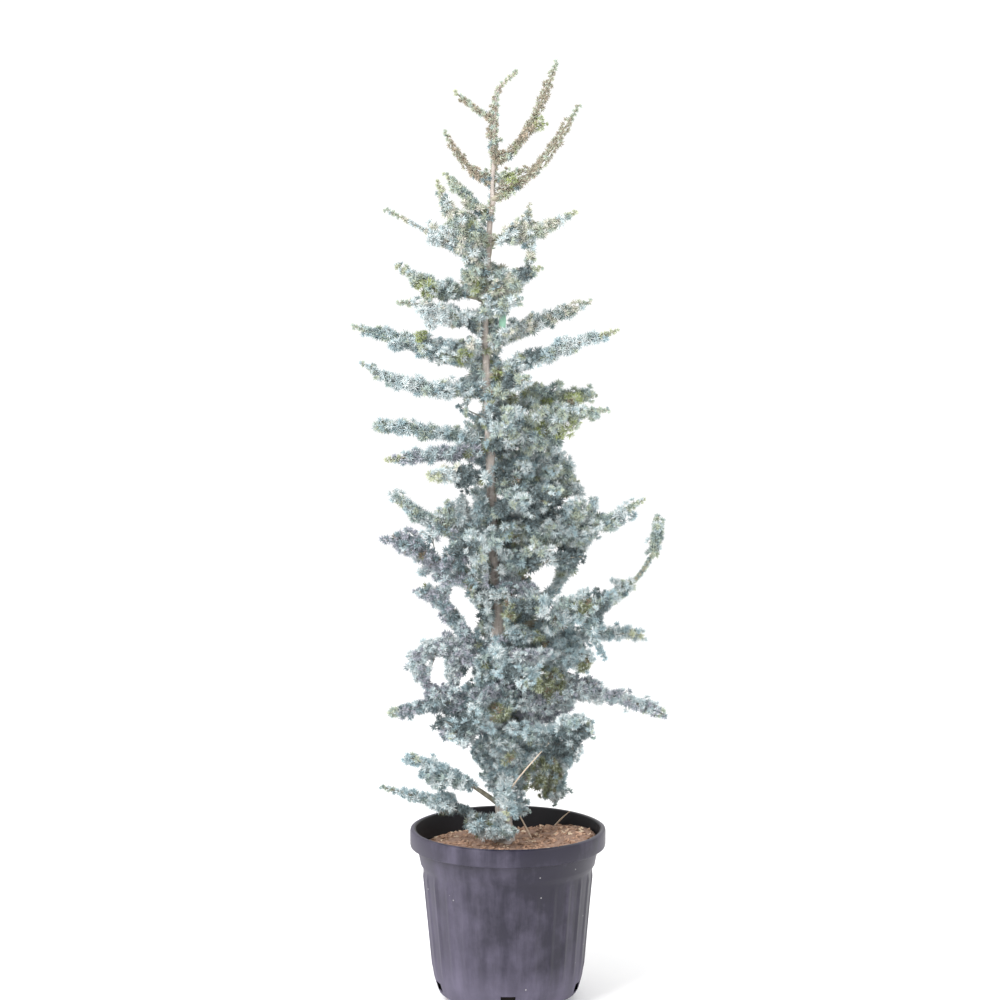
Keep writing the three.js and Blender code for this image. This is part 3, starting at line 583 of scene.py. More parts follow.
# shoots that the photograph shows between the limbs: what bears them, then for each the share along
# that limb or the mm up the trunk, its tip as the camera sees it, in pixels across and down and in
# mm further away than the trunk, and the radius of its brush
branchletTable = [
    ("trunk", (1432, 454, 208, -20, 26), (1408, 441, 226, -30, 28), (1424, 466, 210, 25, 26),
     (1396, 457, 238, -40, 26), (1380, 464, 256, -30, 24), (1352, 463, 270, -45, 26),
     (1338, 467, 284, -40, 26), (1322, 474, 298, -35, 22), (1372, 474, 252, 40, 24)),
    ("right_1", (0.34, 523, 216, -20, 22), (0.26, 513, 223, -40, 24), (0.45, 529, 204, 10, 7),
     (0.48, 529, 268, -30, 15)),
    ("right_2", (0.5, 530, 272, -70, 22)),
    ("trunk", (1318, 521, 298, -60, 28), (1306, 506, 306, -55, 24), (1334, 527, 280, 20, 26)),
    ("left_4", (0.55, 424, 297, 40, 24), (0.4, 441, 299, 25, 22), (0.68, 414, 286, 20, 16)),
    ("left_5", (0.72, 431, 329, -60, 22), (0.62, 446, 324, -50, 22)),
    ("left_6", (0.55, 421, 333, -40, 14)),
    ("left_5", (0.5, 438, 312, -20, 22)),
    ("trunk", (1284, 458, 313, -30, 20), (1262, 466, 322, -30, 16)),
    ("left_6", (0.62, 391, 344, -40, 20), (0.3, 446, 350, -50, 24), (0.2, 461, 352, -40, 24),
     (0.45, 424, 346, -40, 22)),
    ("left_7", (0.3, 446, 393, -50, 26), (0.55, 413, 391, -30, 24), (0.14, 466, 416, -20, 5)),
    ("left_8", (0.9, 377, 428, 30, 22), (0.55, 419, 436, 20, 20)),
    ("left_9", (0.35, 440, 452, -60, 24)),
    ("left_10", (0.5, 440, 470, -80, 26), (0.25, 462, 468, -60, 28)),
    ("left_11", (0.3, 452, 503, -30, 30), (0.2, 466, 501, -20, 30), (0.45, 439, 508, -20, 28)),
    ("left_12", (0.55, 431, 526, -60, 28), (0.68, 414, 531, -50, 26), (0.85, 396, 541, -40, 24),
     (0.4, 447, 562, -60, 26), (0.25, 460, 580, -50, 30), (0.5, 440, 580, -30, 22)),
    ("left_13", (0.9, 414, 590, -10, 22)),
    ("left_14", (0.45, 441, 648, -20, 28), (0.3, 455, 654, -25, 30), (0.22, 464, 662, -40, 26),
     (0.92, 431, 690, -10, 18)),
    ("left_15", (0.35, 452, 690, -40, 28), (0.5, 437, 697, -30, 28), (0.25, 462, 706, -40, 30)),
    ("left_16", (0.7, 441, 722, -50, 30), (0.9, 455, 735, -60, 26)),
    ("left_17", (0.5, 446, 772, -60, 24), (0.42, 456, 784, -70, 20)),
    ("left_18", (0.45, 432, 797, -40, 30), (0.35, 446, 803, -50, 30), (0.25, 461, 806, -60, 24)),
    ("left_17", (0.6, 433, 788, -60, 28)),
    ("right_5", (0.8, 592, 391, 60, 20)),
    ("right_6", (0.55, 562, 436, -50, 34), (0.45, 545, 446, -40, 34), (0.7, 579, 422, -50, 28)),
    ("right_7", (0.7, 569, 470, 60, 34), (0.8, 566, 490, 70, 34), (0.5, 549, 498, 40, 36),
     (0.6, 560, 455, 40, 34), (0.35, 532, 470, -20, 40)),
    ("right_8", (0.5, 575, 508, -30, 34), (0.6, 592, 503, 20, 26)),
    ("right_10", (0.85, 589, 530, 60, 32), (0.7, 578, 545, 50, 30), (0.6, 568, 530, 40, 32)),
    ("right_12", (0.6, 588, 594, -70, 34), (0.72, 601, 603, -80, 28), (0.8, 600, 622, -80, 30),
     (0.5, 571, 604, -60, 36), (0.8, 606, 659, -95, 7)),
    ("right_13", (0.35, 565, 652, -30, 38), (0.4, 580, 640, -20, 36), (0.25, 548, 668, -30, 40)),
    ("right_14", (0.3, 560, 696, -40, 40), (0.4, 577, 690, -30, 34), (0.2, 545, 706, -40, 42)),
    ("front_8", (0.75, 586, 733, -60, 30), (0.6, 577, 715, -60, 34)),
    ("right_15", (0.5, 560, 745, 60, 40), (0.4, 545, 772, 50, 40), (0.7, 563, 770, 90, 36),
     (0.75, 549, 792, 90, 34), (0.9, 560, 797, 110, 26)),
    ("front_9", (0.5, 507, 800, -90, 20), (0.7, 516, 817, -100, 16)),
    ("front_10", (0.5, 512, 828, -80, 16)),
    ("trunk", (1546, 527, 167, -20, 13), (1530, 516, 178, -30, 18), (1550, 472, 167, 0, 10)),
    ("top_3", (0.42, 546, 123, -10, 24)),
    ("right_6", (0.35, 525, 452, -20, 36)),
    ("trunk", (1010, 542, 450, 20, 36), (925, 482, 506, -30, 30)),
    ("right_8", (0.2, 520, 521, -40, 36), (0.35, 545, 519, -50, 36)),
    ("right_9", (0.5, 545, 547, -60, 32), (0.3, 520, 556, -50, 36)),
    ("trunk", (790, 533, 586, -70, 24)),
    ("right_12", (0.75, 585, 590, -60, 28), (0.85, 597, 588, -70, 22), (0.55, 565, 599, -50, 28)),
    ("right_13", (0.3, 575, 662, -40, 40), (0.35, 591, 654, -40, 28), (0.25, 560, 678, -50, 40)),
    ("right_14", (0.35, 574, 676, -30, 34)),
    ("right_13", (0.2, 545, 655, -60, 40)),
    ("right_14", (0.25, 552, 683, -60, 36), (0.32, 570, 708, -50, 34)),
    ("right_15", (0.3, 530, 770, 20, 34), (0.35, 523, 755, -30, 34), (0.5, 541, 786, 50, 32)),
    ("trunk", (440, 515, 765, -40, 28), (470, 482, 757, -30, 24), (452, 486, 766, -40, 20)),
    ("right_15", (0.7, 574, 755, 70, 24)),
    ("left_12", (0.3, 455, 532, -50, 28)),
    ("trunk", (870, 470, 532, -50, 30)),
    ("left_13", (0.85, 447, 580, -20, 18)),
    ("trunk", (720, 488, 602, -40, 26)),
    ("left_6", (0.25, 456, 343, -30, 28), (0.4, 436, 341, -20, 24)),
    ("trunk", (1238, 468, 341, -40, 26)),
    ("left_6", (0.5, 420, 340, 0, 20)),
    ("right_4", (0.3, 525, 362, -40, 26), (0.45, 545, 355, -50, 24)),
    ("front_1", (0.6, 514, 376, -80, 28)),
    ("right_4", (0.62, 566, 348, -30, 20), (0.55, 563, 337, -30, 14)),
    ("trunk", (830, 474, 562, -50, 30), (800, 470, 575, -40, 26), (640, 478, 665, -50, 30),
     (622, 476, 680, -60, 28)),
    ("left_15", (0.15, 474, 692, -60, 30)),
    ("trunk", (490, 478, 742, -40, 28)),
    ("right_15", (0.25, 520, 785, 10, 26)),
    ("trunk", (420, 512, 790, -20, 18)),
    ("right_6", (0.6, 575, 403, -40, 24), (0.5, 558, 408, -50, 28)),
    ("right_5", (0.7, 580, 400, 40, 22)),
    ("right_7", (0.75, 565, 459, 50, 28), (0.85, 567, 475, 60, 26)),
    ("right_8", (0.55, 597, 499, 10, 18), (0.45, 585, 500, 0, 28)),
    ("right_7", (0.8, 573, 492, 60, 24)),
    ("trunk", (940, 474, 491, -40, 24)),
    ("left_11", (0.35, 447, 501, -40, 22), (0.15, 480, 499, -40, 28)),
    ("trunk", (760, 472, 592, -30, 24), (740, 479, 604, -30, 22), (720, 486, 618, -30, 20)),
    ("right_13", (0.45, 594, 660, -60, 22), (0.4, 588, 668, -50, 28)),
    ("right_14", (0.42, 585, 684, -40, 26)),
    ("trunk", (475, 477, 750, -20, 24), (455, 481, 765, -30, 22), (440, 489, 775, -40, 16)),
    ("left_18", (0.4, 440, 788, -50, 26)),
    ("right_4", (0.2, 510, 366, -40, 26), (0.35, 532, 360, -40, 24)),
    ("front_3", (0.4, 517, 497, -70, 30)),
    ("trunk", (869, 488, 532, -62, 24), (845, 498, 545, -62, 24), (824, 486, 556, -62, 24),
     (807, 500, 566, -62, 24), (789, 489, 576, -62, 24), (761, 502, 590, -62, 24),
     (658, 494, 645, -62, 24), (639, 505, 655, -62, 24), (615, 496, 668, -62, 24),
     (596, 508, 679, -62, 24), (574, 497, 690, -62, 24), (551, 510, 702, -62, 24),
     (527, 500, 715, -62, 24), (503, 508, 728, -62, 24), (480, 498, 740, -62, 24),
     (458, 510, 752, -62, 24), (439, 500, 762, -62, 24)),
    ("left_6", (0.3, 448, 340, -40, 24), (0.15, 474, 341, -30, 22)),
    ("left_5", (0.4, 462, 324, -20, 18)),
    ("trunk", (1358, 505, 270, -20, 22), (1350, 520, 269, -30, 20)),
    ("right_2", (0.5, 517, 272, -30, 20)),
    ("left_4", (0.3, 450, 290, -20, 24), (0.5, 430, 287, -30, 24)),
    ("trunk", (1252, 506, 338, -30, 22)),
    ("right_3", (0.15, 506, 330, -40, 24)),
    ("right_4", (0.5, 553, 351, -40, 20)),
    ("right_8", (0.3, 530, 517, -70, 28), (0.4, 575, 500, -20, 26), (0.42, 566, 506, -40, 28)),
    ("left_14", (0.6, 425, 648, -10, 18), (0.35, 450, 663, -20, 14)),
    ("left_15", (0.45, 446, 687, -20, 16), (0.6, 432, 689, -20, 16)),
    ("left_14", (0.35, 453, 692, -10, 16)),
    ("right_14", (0.5, 599, 682, -30, 24), (0.45, 590, 677, -20, 22), (0.25, 548, 712, -60, 28)),
    ("right_15", (0.6, 571, 762, 60, 22)),
    ("trunk", (480, 473, 745, -40, 24), (462, 475, 758, -40, 22)),
    ("left_17", (0.5, 448, 778, -50, 20)),
    ("right_15", (0.55, 577, 748, 60, 20)),
    ("front_8", (0.7, 580, 745, -70, 22)),
    ("right_8", (0.15, 514, 517, 40, 26), (0.3, 550, 518, 40, 28)),
    ("right_14", (0.15, 526, 695, 40, 30)),
    ("right_13", (0.12, 522, 667, 50, 28)),
    ("right_14", (0.22, 545, 682, 30, 30), (0.25, 557, 715, 30, 26)),
    ("right_15", (0.3, 525, 744, 30, 26)),
    ("right_13", (0.3, 565, 632, 20, 24), (0.4, 580, 634, 30, 22)),
    ("right_12", (0.5, 563, 597, -30, 24)),
    ("right_14", (0.35, 575, 697, 20, 24)),
    ("right_12", (0.2, 515, 629, -70, 20)),
    ("front_5", (0.3, 508, 621, -60, 16)),
    ("left_14", (0.2, 466, 645, -20, 24)),
    ("right_8", (0.25, 540, 505, -20, 30)),
    ("right_7", (0.6, 560, 505, 30, 30)),
    ("front_3", (0.6, 530, 508, -80, 30)),
    ("right_12", (0.9, 612, 592, -70, 24), (0.85, 606, 604, -80, 26)),
    ("right_11", (0.6, 622, 582, 10, 22), (0.55, 616, 598, 10, 24), (0.97, 657, 530, 10, 16),
     (0.92, 655, 540, 10, 16)),
    ("right_14", (0.12, 528, 693, -40, 26), (0.18, 530, 724, -40, 28)),
    ("front_8", (0.85, 588, 724, -70, 22)),
    ("right_15", (0.5, 584, 730, 50, 24), (0.4, 556, 739, 40, 26)),
    ("trunk", (470, 472, 752, -30, 24)),
    ("left_11", (0.25, 462, 492, -20, 22)),
    ("left_10", (0.3, 456, 485, -60, 20)),
    ("left_12", (0.95, 397, 539, -50, 22), (0.9, 404, 545, -50, 22)),
    ("left_11", (0.75, 412, 508, 20, 20), (0.6, 424, 513, 20, 22)),
    ("left_14", (0.7, 421, 660, -10, 16), (0.8, 420, 672, -10, 16), (0.9, 424, 683, -10, 16),
     (0.5, 436, 645, -10, 22), (0.4, 449, 650, -10, 20)),
    ("left_15", (0.55, 441, 688, -10, 20), (0.4, 455, 694, -10, 20)),
    ("left_14", (0.75, 414, 655, -10, 16)),
    ("trunk", (430, 480, 775, -40, 22), (415, 486, 786, -40, 18)),
    ("left_17", (0.65, 428, 782, -40, 22), (0.75, 421, 776, -40, 18)),
    ("trunk", (380, 500, 798, -60, 20), (350, 494, 814, -70, 18)),
    ("front_10", (0.8, 474, 824, -80, 20), (0.9, 517, 830, -80, 18), (0.5, 500, 819, -60, 20)),
    ("right_5", (0.3, 540, 388, 20, 26)),
    ("left_6", (0.35, 440, 338, -20, 22), (0.2, 464, 340, -20, 22)),
    ("left_13", (0.35, 459, 622, -10, 20), (0.55, 448, 607, -10, 20), (0.7, 441, 594, -10, 20)),
    ("right_15", (0.3, 522, 790, 0, 20), (0.8, 545, 797, 90, 24), (0.85, 556, 802, 100, 20)),
    ("right_13", (0.3, 566, 674, -20, 28)),
    ("right_14", (0.3, 575, 679, 0, 26), (0.08, 512, 694, -30, 26)),
    ("front_7", (0.3, 512, 692, -50, 26)),
    ("right_14", (0.15, 522, 697, 0, 26)),
    ("right_6", (0.5, 560, 447, -20, 26)),
    ("trunk", (760, 468, 592, -20, 18), (745, 472, 600, -20, 16)),
    ("left_14", (0.35, 452, 670, -10, 20), (0.3, 456, 682, -15, 18)),
    ("left_15", (0.4, 452, 682, -10, 18)),
    ("left_14", (0.65, 424, 655, -10, 16)),
    ("right_12", (0.12, 512, 628, -60, 18), (0.25, 522, 626, -70, 20)),
    ("front_5", (0.2, 505, 632, -50, 16)),
    ("trunk", (690, 506, 640, -50, 18), (585, 520, 688, -30, 24), (580, 524, 692, 30, 24)),
    ("front_3", (0.3, 512, 490, -60, 26)),
    ("right_7", (0.2, 520, 492, 10, 28), (0.4, 545, 455, 20, 30)),
    ("right_6", (0.4, 548, 450, 0, 28)),
    ("trunk", (1545, 508, 168, -10, 16), (1585, 503, 150, -5, 12)),
    ("right_6", (0.3, 545, 409, -30, 28)),
    ("right_5", (0.5, 560, 406, 20, 26)),
    ("right_14", (0.42, 590, 680, -10, 24), (0.36, 578, 674, -20, 26)),
    ("right_13", (0.42, 588, 672, -50, 24), (0.15, 535, 678, -40, 28)),
    ("trunk", (600, 530, 680, -20, 26)),
    ("left_15", (0.4, 445, 713, -20, 22), (0.25, 458, 714, -30, 24)),
    ("left_16", (0.5, 466, 742, -30, 22)),
    ("right_15", (0.6, 578, 755, 50, 22)),
    ("right_14", (0.2, 555, 721, -20, 26)),
    ("left_11", (0.7, 416, 511, 15, 20)),
    ("right_3", (0.2, 515, 318, -20, 18), (0.35, 533, 313, -10, 16)),
    ("left_6", (0.45, 424, 331, -10, 18), (0.12, 470, 337, -10, 20)),
    ("left_5", (0.45, 452, 327, -20, 16)),
    ("left_8", (0.12, 466, 421, -10, 18)),
    ("left_14", (0.5, 449, 682, -10, 14)),
    ("left_15", (0.6, 436, 684, -10, 14), (0.5, 444, 684, -10, 14)),
    ("left_14", (0.6, 428, 676, -10, 12)),
    ("trunk", (650, 524, 654, -118, 28), (650, 538, 652, -118, 26), (655, 552, 650, -112, 26),
     (480, 513, 742, -75, 26), (480, 499, 748, -72, 22), (570, 480, 696, -85, 26),
     (1060, 518, 434, -85, 24), (575, 573, 692, -70, 22), (345, 500, 836, -36, 18),
     (345, 508, 838, -34, 16), (890, 552, 510, 70, 28), (880, 514, 527, 45, 26), (600, 545, 676, 70, 28),
     (600, 572, 674, 70, 28), (520, 518, 724, 50, 26), (550, 528, 702, 60, 26), (860, 530, 530, 70, 28),
     (700, 540, 630, 70, 28), (500, 545, 735, 60, 28), (900, 551, 505, 45, 28)),
    ("right_8", (0.3, 553, 508, 70, 26), (0.25, 545, 513, 30, 26)),
    ("trunk", (700, 535, 617, 60, 26)),
    ("right_12", (0.35, 573, 626, 50, 24)),
    ("trunk", (690, 560, 628, 60, 26), (800, 524, 571, 35, 24), (790, 530, 579, -25, 20),
     (805, 518, 566, 55, 26), (780, 521, 581, 30, 22), (392, 524, 794, -20, 18), (380, 528, 802, -25, 18),
     (366, 529, 811, -25, 15), (850, 512, 553, -55, 20), (790, 510, 585, -65, 22),
     (505, 497, 737, -85, 24), (598, 490, 687, -85, 24)),
    ("right_13", (0.3, 565, 641, -40, 22)),
    ("right_7", (0.5, 559, 467, -30, 24)),
    ("trunk", (1034, 513, 453, 40, 22), (1282, 497, 321, 30, 18), (1045, 519, 445, 25, 20),
     (905, 557, 504, 20, 26), (885, 519, 514, 20, 22)),
]
# windows of sky in the camera's frame that no shoot grows across: left, top, right, bottom
skyWindows = [
    (455, 294, 485, 311), (438, 330, 458, 335), (484, 243, 524, 264), (465, 401, 484, 416),
    (500, 343, 520, 350), (520, 336, 544, 342), (424, 484, 446, 496), (430, 539, 444, 555),
    (537, 561, 555, 586), (457, 592, 466, 606), (461, 603, 473, 619), (467, 615, 478, 629),
    (431, 658, 444, 677), (458, 674, 467, 686), (418, 365, 470, 374), (420, 620, 440, 639),
    (442, 811, 466, 828), (469, 802, 502, 815),
]
# stretches in the camera's frame where the trunk stands clear of its foliage
trunkShows = [
    (488, 160, 498, 186), (487, 180, 498, 206), (485, 230, 494, 254), (481, 320, 490, 336),
    (482, 336, 491, 352), (482, 364, 491, 384), (488, 482, 497, 512), (486, 547, 502, 568),
    (486, 566, 503, 590), (490, 598, 506, 616), (491, 614, 507, 634),
]
# spots in the camera's frame where old inner needles show, and where the foliage lies in its own
# shade: across, down, radius
agedSpots = [
    (570, 432, 13), (514, 606, 13), (550, 684, 17), (542, 776, 20), (584, 606, 9), (583, 663, 8),
    (504, 380, 11), (424, 290, 11), (464, 356, 8), (540, 640, 8), (512, 178, 9), (542, 124, 9),
    (500, 712, 10), (574, 399, 9), (477, 287, 7), (421, 334, 7), (545, 402, 8), (543, 429, 9),
    (527, 574, 9),
]
darkSpots = [
    (462, 724, 14), (440, 720, 10), (528, 607, 9), (549, 508, 14), (534, 504, 9), (534, 350, 9),
    (567, 556, 11), (564, 744, 14), (580, 736, 10), (456, 545, 11), (584, 558, 9), (605, 614, 10),
    (598, 592, 9), (493, 414, 9), (470, 548, 8), (503, 474, 9), (534, 519, 9), (478, 471, 8), (499, 446, 8),
    (457, 612, 8), (536, 563, 9), (513, 604, 8), (471, 672, 9), (503, 507, 9), (467, 470, 9), (480, 616, 9),
    (465, 806, 10), (524, 271, 8), (466, 329, 8), (508, 381, 8), (463, 486, 9), (536, 494, 8),
    (513, 673, 9), (540, 745, 9),
]

# limbs that are full to the end, limbs thicker than their fellows, and stretches thinly clothed
bluntTips = {
    "left_8", "left_10", "left_11", "left_12", "left_13", "left_14", "left_15", "left_17",
    "right_11", "right_13", "right_14",
}
fuller = {"left_6": 1.15, "left_7": 1.2, "left_13": 1.25, "left_14": 1.45}
slender = {"right_11": (0.66, 0.82), "left_3": (0.55, 0.92)}

tilt = math.radians(cameraSet["pitchDown"])
cameraAhead = np.array([0, math.cos(tilt), -math.sin(tilt)])
cameraUp = np.array([0, math.sin(tilt), math.cos(tilt)])
halfFrame = cameraSet["framePixels"] / 2


def seenAt(x, y, depth):
    ray = cameraAhead - cameraUp * (y - halfFrame) / cameraSet["focalPixels"]
    ray = ray + np.array([1.0, 0, 0]) * (x - halfFrame) / cameraSet["focalPixels"]
    place = np.array(cameraSet["place"])
    return place + ray * (depth * mm - place[1]) / ray[1]


def pixelsOf(points):
    away = points - np.array(cameraSet["place"])
    far = away @ cameraAhead
    x = halfFrame + away[:, 0] / far * cameraSet["focalPixels"]
    y = halfFrame - away @ cameraUp / far * cameraSet["focalPixels"]
    return x, y


def inSky(points):
    x, y = pixelsOf(points)
    hit = np.zeros(len(points), bool)
    for window in skyWindows + trunkShows:
        left, top, right, bottom = window
        across = (x - (left + right) / 2) / ((right - left) / 2)
        down = (y - (top + bottom) / 2) / ((bottom - top) / 2)
        ahead = points[:, 1] < 0 if window in trunkShows else True
        hit |= (across ** 2 + down ** 2 < 1) & ahead
    return hit


# foliage: twigs off each limb, short spurs along every shoot, a rosette of needles on each spur
leafSet = {
    "seed": 23, "topFrom": 1500, "jitter": (0.2, 0.8), "sag": 0.06, "shootPoints": 24,
    "twigGap": {"open": 26, "dense": 18, "rope": 9}, "twigFrom": 0.06, "twigTo": 0.92, "twigStep": 9,
    "twigAngle": 54, "angleWander": 9, "roll": {"open": 40, "dense": 62, "rope": 88}, "curl": 0.05,
    "baseLength": 10, "lengthPerBrush": 0.85, "uneven": 0.25, "taperAt": (0, 0.45, 0.75, 1),
    "twigTaper": {
        "open": (1, 0.75, 0.4, 0.25), "dense": (1, 0.9, 0.65, 0.4), "rope": (0.44, 0.44, 0.34, 0.14),
    },
    "bluntTaper": {
        "open": (1, 0.8, 0.6, 0.5), "dense": (1, 0.8, 0.6, 0.5), "rope": (0.46, 0.46, 0.42, 0.34),
    },
    "offshootLeast": 34, "offshootGap": 20, "offshootShare": 0.5, "offshootTaper": 0.6,
}
# rosettes, with a value for a limb, a twig and an offshoot where there are three
spurSet = {
    "gap": (3.6, 5.6, 6.5), "length": ((3, 9), (2, 7), (2, 5)), "forward": 0.3, "lift": 0.05,
    "needle": (13, 12.5, 12), "needleLeast": 7, "needles": 26, "cone": 96, "vary": (0.85, 1.12),
    "alongLimb": ((0, 0.2, 0.75, 1), (1, 1.02, 0.92, 0.6)), "bluntEnd": 0.9,
    "alongShoot": ((0, 0.7, 1), (1, 1, 0.85)), "clearAt": 0.6,
    "leanShare": 0.55, "leanBrush": 60, "fullBrush": 24, "thinShare": 0.5, "tightSpur": 0.2,
    "topNeedles": 18, "topShare": 0.82, "tipFrom": 0.86, "tipNeedles": 20, "tipCone": 58, "tipForward": 0.9,
}
# needles as keeled blades, in mm and in shares of their length and width
needleSet = {
    "width": 2.2, "widestAt": 0.4, "keel": 0.7, "uneven": 0.15, "tiltWander": 0.07, "turnWander": 0.12,
    "twigTurn": 40, "mixed": 0.35,
}


def lineAt(line, share):
    place = np.clip(share, 0, 1) * (len(line) - 1)
    low = np.minimum(np.floor(place).astype(int), len(line) - 2)
    part = np.asarray(place - low)[..., None]
    point = line[low] * (1 - part) + line[low + 1] * part
    along = line[low + 1] - line[low]
    return point, along / np.linalg.norm(along, axis=-1, keepdims=True)


def twigLine(start, heading, length):
    t = np.linspace(0, 1, max(4, round(length / (leafSet["twigStep"] * mm))))[:, None]
    return start + heading * length * t + upArray * leafSet["curl"] * length * t ** 2


# side twigs stand off to the left and right in turn, rolled round the stem
def sideTwigs(line, gap, lengthAt, roll, rng):
    total = np.linalg.norm(np.diff(line, axis=0), axis=1).sum()
    count = max(1, round(total / (gap * mm)))
    made = []
    for i in range(count):
        step = (i + rng.uniform(*leafSet["jitter"])) / count
        share = leafSet["twigFrom"] + (leafSet["twigTo"] - leafSet["twigFrom"]) * step
        point, along = lineAt(line, share)
        aside = np.cross(along, upArray)
        aside /= max(np.linalg.norm(aside), 1e-6)
        over = np.cross(aside, along)
        spin = math.radians(rng.uniform(-roll, roll))
        aside = (aside * math.cos(spin) + over * math.sin(spin)) * (1 if i % 2 == 0 else -1)
        angle = math.radians(leafSet["twigAngle"] + rng.normal(0, leafSet["angleWander"]))
        heading = along * math.cos(angle) + aside * math.sin(angle)
        length = lengthAt(share) * (1 + rng.uniform(-1, 1) * leafSet["uneven"]) * mm
        made.append((share, twigLine(point, heading, length), length))
    return [twig for twig in made if not inSky(twig[1]).any()]


def isSlender(limb, share):
    nowhere = (1, 1)
    start, end = slender.get(limb["name"], nowhere)
    return (share > start) & (share < end)


def growShoots(limb, rng):
    habit, bare = limb["habit"], limb["bare"]
    longest = leafSet["baseLength"] + leafSet["lengthPerBrush"] * limb["brush"]
    longest *= fuller.get(limb["name"], 1)
    taper = leafSet["bluntTaper" if limb["name"] in bluntTips else "twigTaper"][habit]
    roll = leafSet["roll"][habit]
    shoots = [{"line": limb["line"], "length": limb["length"], "level": 0, "share": 0.0, "from": bare}]

    def twigLength(share):
        return longest * np.interp(share, leafSet["taperAt"], taper)
    for share, line, length in sideTwigs(limb["line"], leafSet["twigGap"][habit], twigLength, roll, rng):
        if share < bare or isSlender(limb, share):
            continue
        shoots.append({"line": line, "length": length, "level": 1, "share": share, "from": 0.0})
        if length < leafSet["offshootLeast"] * mm:
            continue

        def offshootLength(part):
            return length / mm * leafSet["offshootShare"] * (1 - leafSet["offshootTaper"] * part)
        for part, small, size in sideTwigs(line, leafSet["offshootGap"], offshootLength, roll, rng):
            shoots.append({"line": small, "length": size, "level": 2, "share": share, "from": 0.0})
    return shoots


# one entry per rosette: base, heading, needle length, count of needles, half angle, place on the
# limb, and two draws for its colour
def spursOn(limb, shoot, rng):
    level, start = shoot["level"], shoot["from"]
    count = max(2, round(shoot["length"] * (1 - start) / (spurSet["gap"][level] * mm)))
    shares = start + (1 - start) * (np.arange(count) + rng.uniform(*leafSet["jitter"], count)) / count
    points, along = lineAt(shoot["line"], shares)
    turn = rng.uniform(0, 2 * math.pi) + np.arange(count) * goldenTurn
    aside = np.cross(along, upArray)
    aside /= np.maximum(np.linalg.norm(aside, axis=1, keepdims=True), 1e-6)
    over = np.cross(aside, along)
    out = aside * np.cos(turn)[:, None] + over * np.sin(turn)[:, None]
    heading = out + along * spurSet["forward"] + upArray * spurSet["lift"]
    limbShare = shares if level == 0 else np.full(count, shoot["share"])
    blunt, atTop = limb["name"] in bluntTips, limb["height"] > leafSet["topFrom"]
    isTip = (shares > spurSet["tipFrom"]) & (level == 0) & (not blunt)
    thin = isSlender(limb, limbShare)

    stops, sizes = spurSet["alongLimb"]
    size = np.interp(limbShare, stops, (*sizes[:-1], spurSet["bluntEnd"]) if blunt else sizes)
    size *= np.interp(shares, *spurSet["alongShoot"]) * rng.uniform(*spurSet["vary"], count)
    size = np.where(thin, size * spurSet["thinShare"], size)
    full = min(1, spurSet["leanShare"] + limb["brush"] / spurSet["leanBrush"])
    size *= full * (spurSet["topShare"] if atTop else 1)
    length = np.maximum(spurSet["needle"][level] * size, spurSet["needleLeast"])
    heading[isTip] += along[isTip] * spurSet["tipForward"]
    heading /= np.linalg.norm(heading, axis=1, keepdims=True)
    stalk = np.where(isTip | thin, spurSet["tightSpur"], min(1, limb["brush"] / spurSet["fullBrush"]))
    stalk = rng.uniform(*spurSet["length"][level], count) * stalk
    base = points + out * stalk[:, None] * mm
    kept = ~inSky(base + heading * length[:, None] * mm * spurSet["clearAt"])
    needles = spurSet["topNeedles" if atTop else "needles"]
    rows = {
        "base": base, "heading": heading, "length": length * mm,
        "needles": np.where(isTip, spurSet["tipNeedles"], needles),
        "cone": np.radians(np.where(isTip, spurSet["tipCone"], spurSet["cone"])),
        "limbShare": limbShare, "level": np.full(count, level),
        "twig": np.full(count, rng.uniform()), "chance": rng.uniform(0, 1, count),
    }
    return {key: values[kept] for key, values in rows.items()}


# living needle under a waxy bloom: dull, with a silver sheen, from the palest new growth to dead
# inner needles; shade and deepShade are darker copies, painted shade for needles that lie in shadow
needleColours = {
    "silver": "#dbe1e1", "paleGrey": "#dfdcd2", "powderBlue": "#bccbce", "tealBlue": "#a3b9bf",
    "blueGreen": "#afbeb8", "lilacGrey": "#b6b7c1", "sage": "#bdc4b1", "youngGreen": "#c5c9ae",
    "fawn": "#bcaf9d", "taupe": "#a29887", "moss": "#9faa71", "olive": "#858c69",
    "deadTan": "#91816f", "shade": "#7c8d91", "deepShade": "#5e6a6b",
}
waxyBloom = {"Specular IOR Level": 0.3, "Sheen Weight": 0.2, "Sheen Roughness": 0.5}
needleFinishes = [
    plainFinish("cedar_needle_" + key, code, 0.6, waxyBloom) for key, code in needleColours.items()
]
colourNames = list(needleColours)
# the colour that some of a rosette's needles take instead of its own
neighbour = {
    "silver": "powderBlue", "paleGrey": "sage", "powderBlue": "silver", "tealBlue": "powderBlue",
    "blueGreen": "shade", "lilacGrey": "shade", "sage": "blueGreen", "youngGreen": "sage",
    "fawn": "taupe", "taupe": "sage", "moss": "sage", "olive": "sage",
    "deadTan": "olive", "shade": "tealBlue", "deepShade": "shade",
}
neighbourIndex = np.array([colourNames.index(neighbour[name]) for name in colourNames])

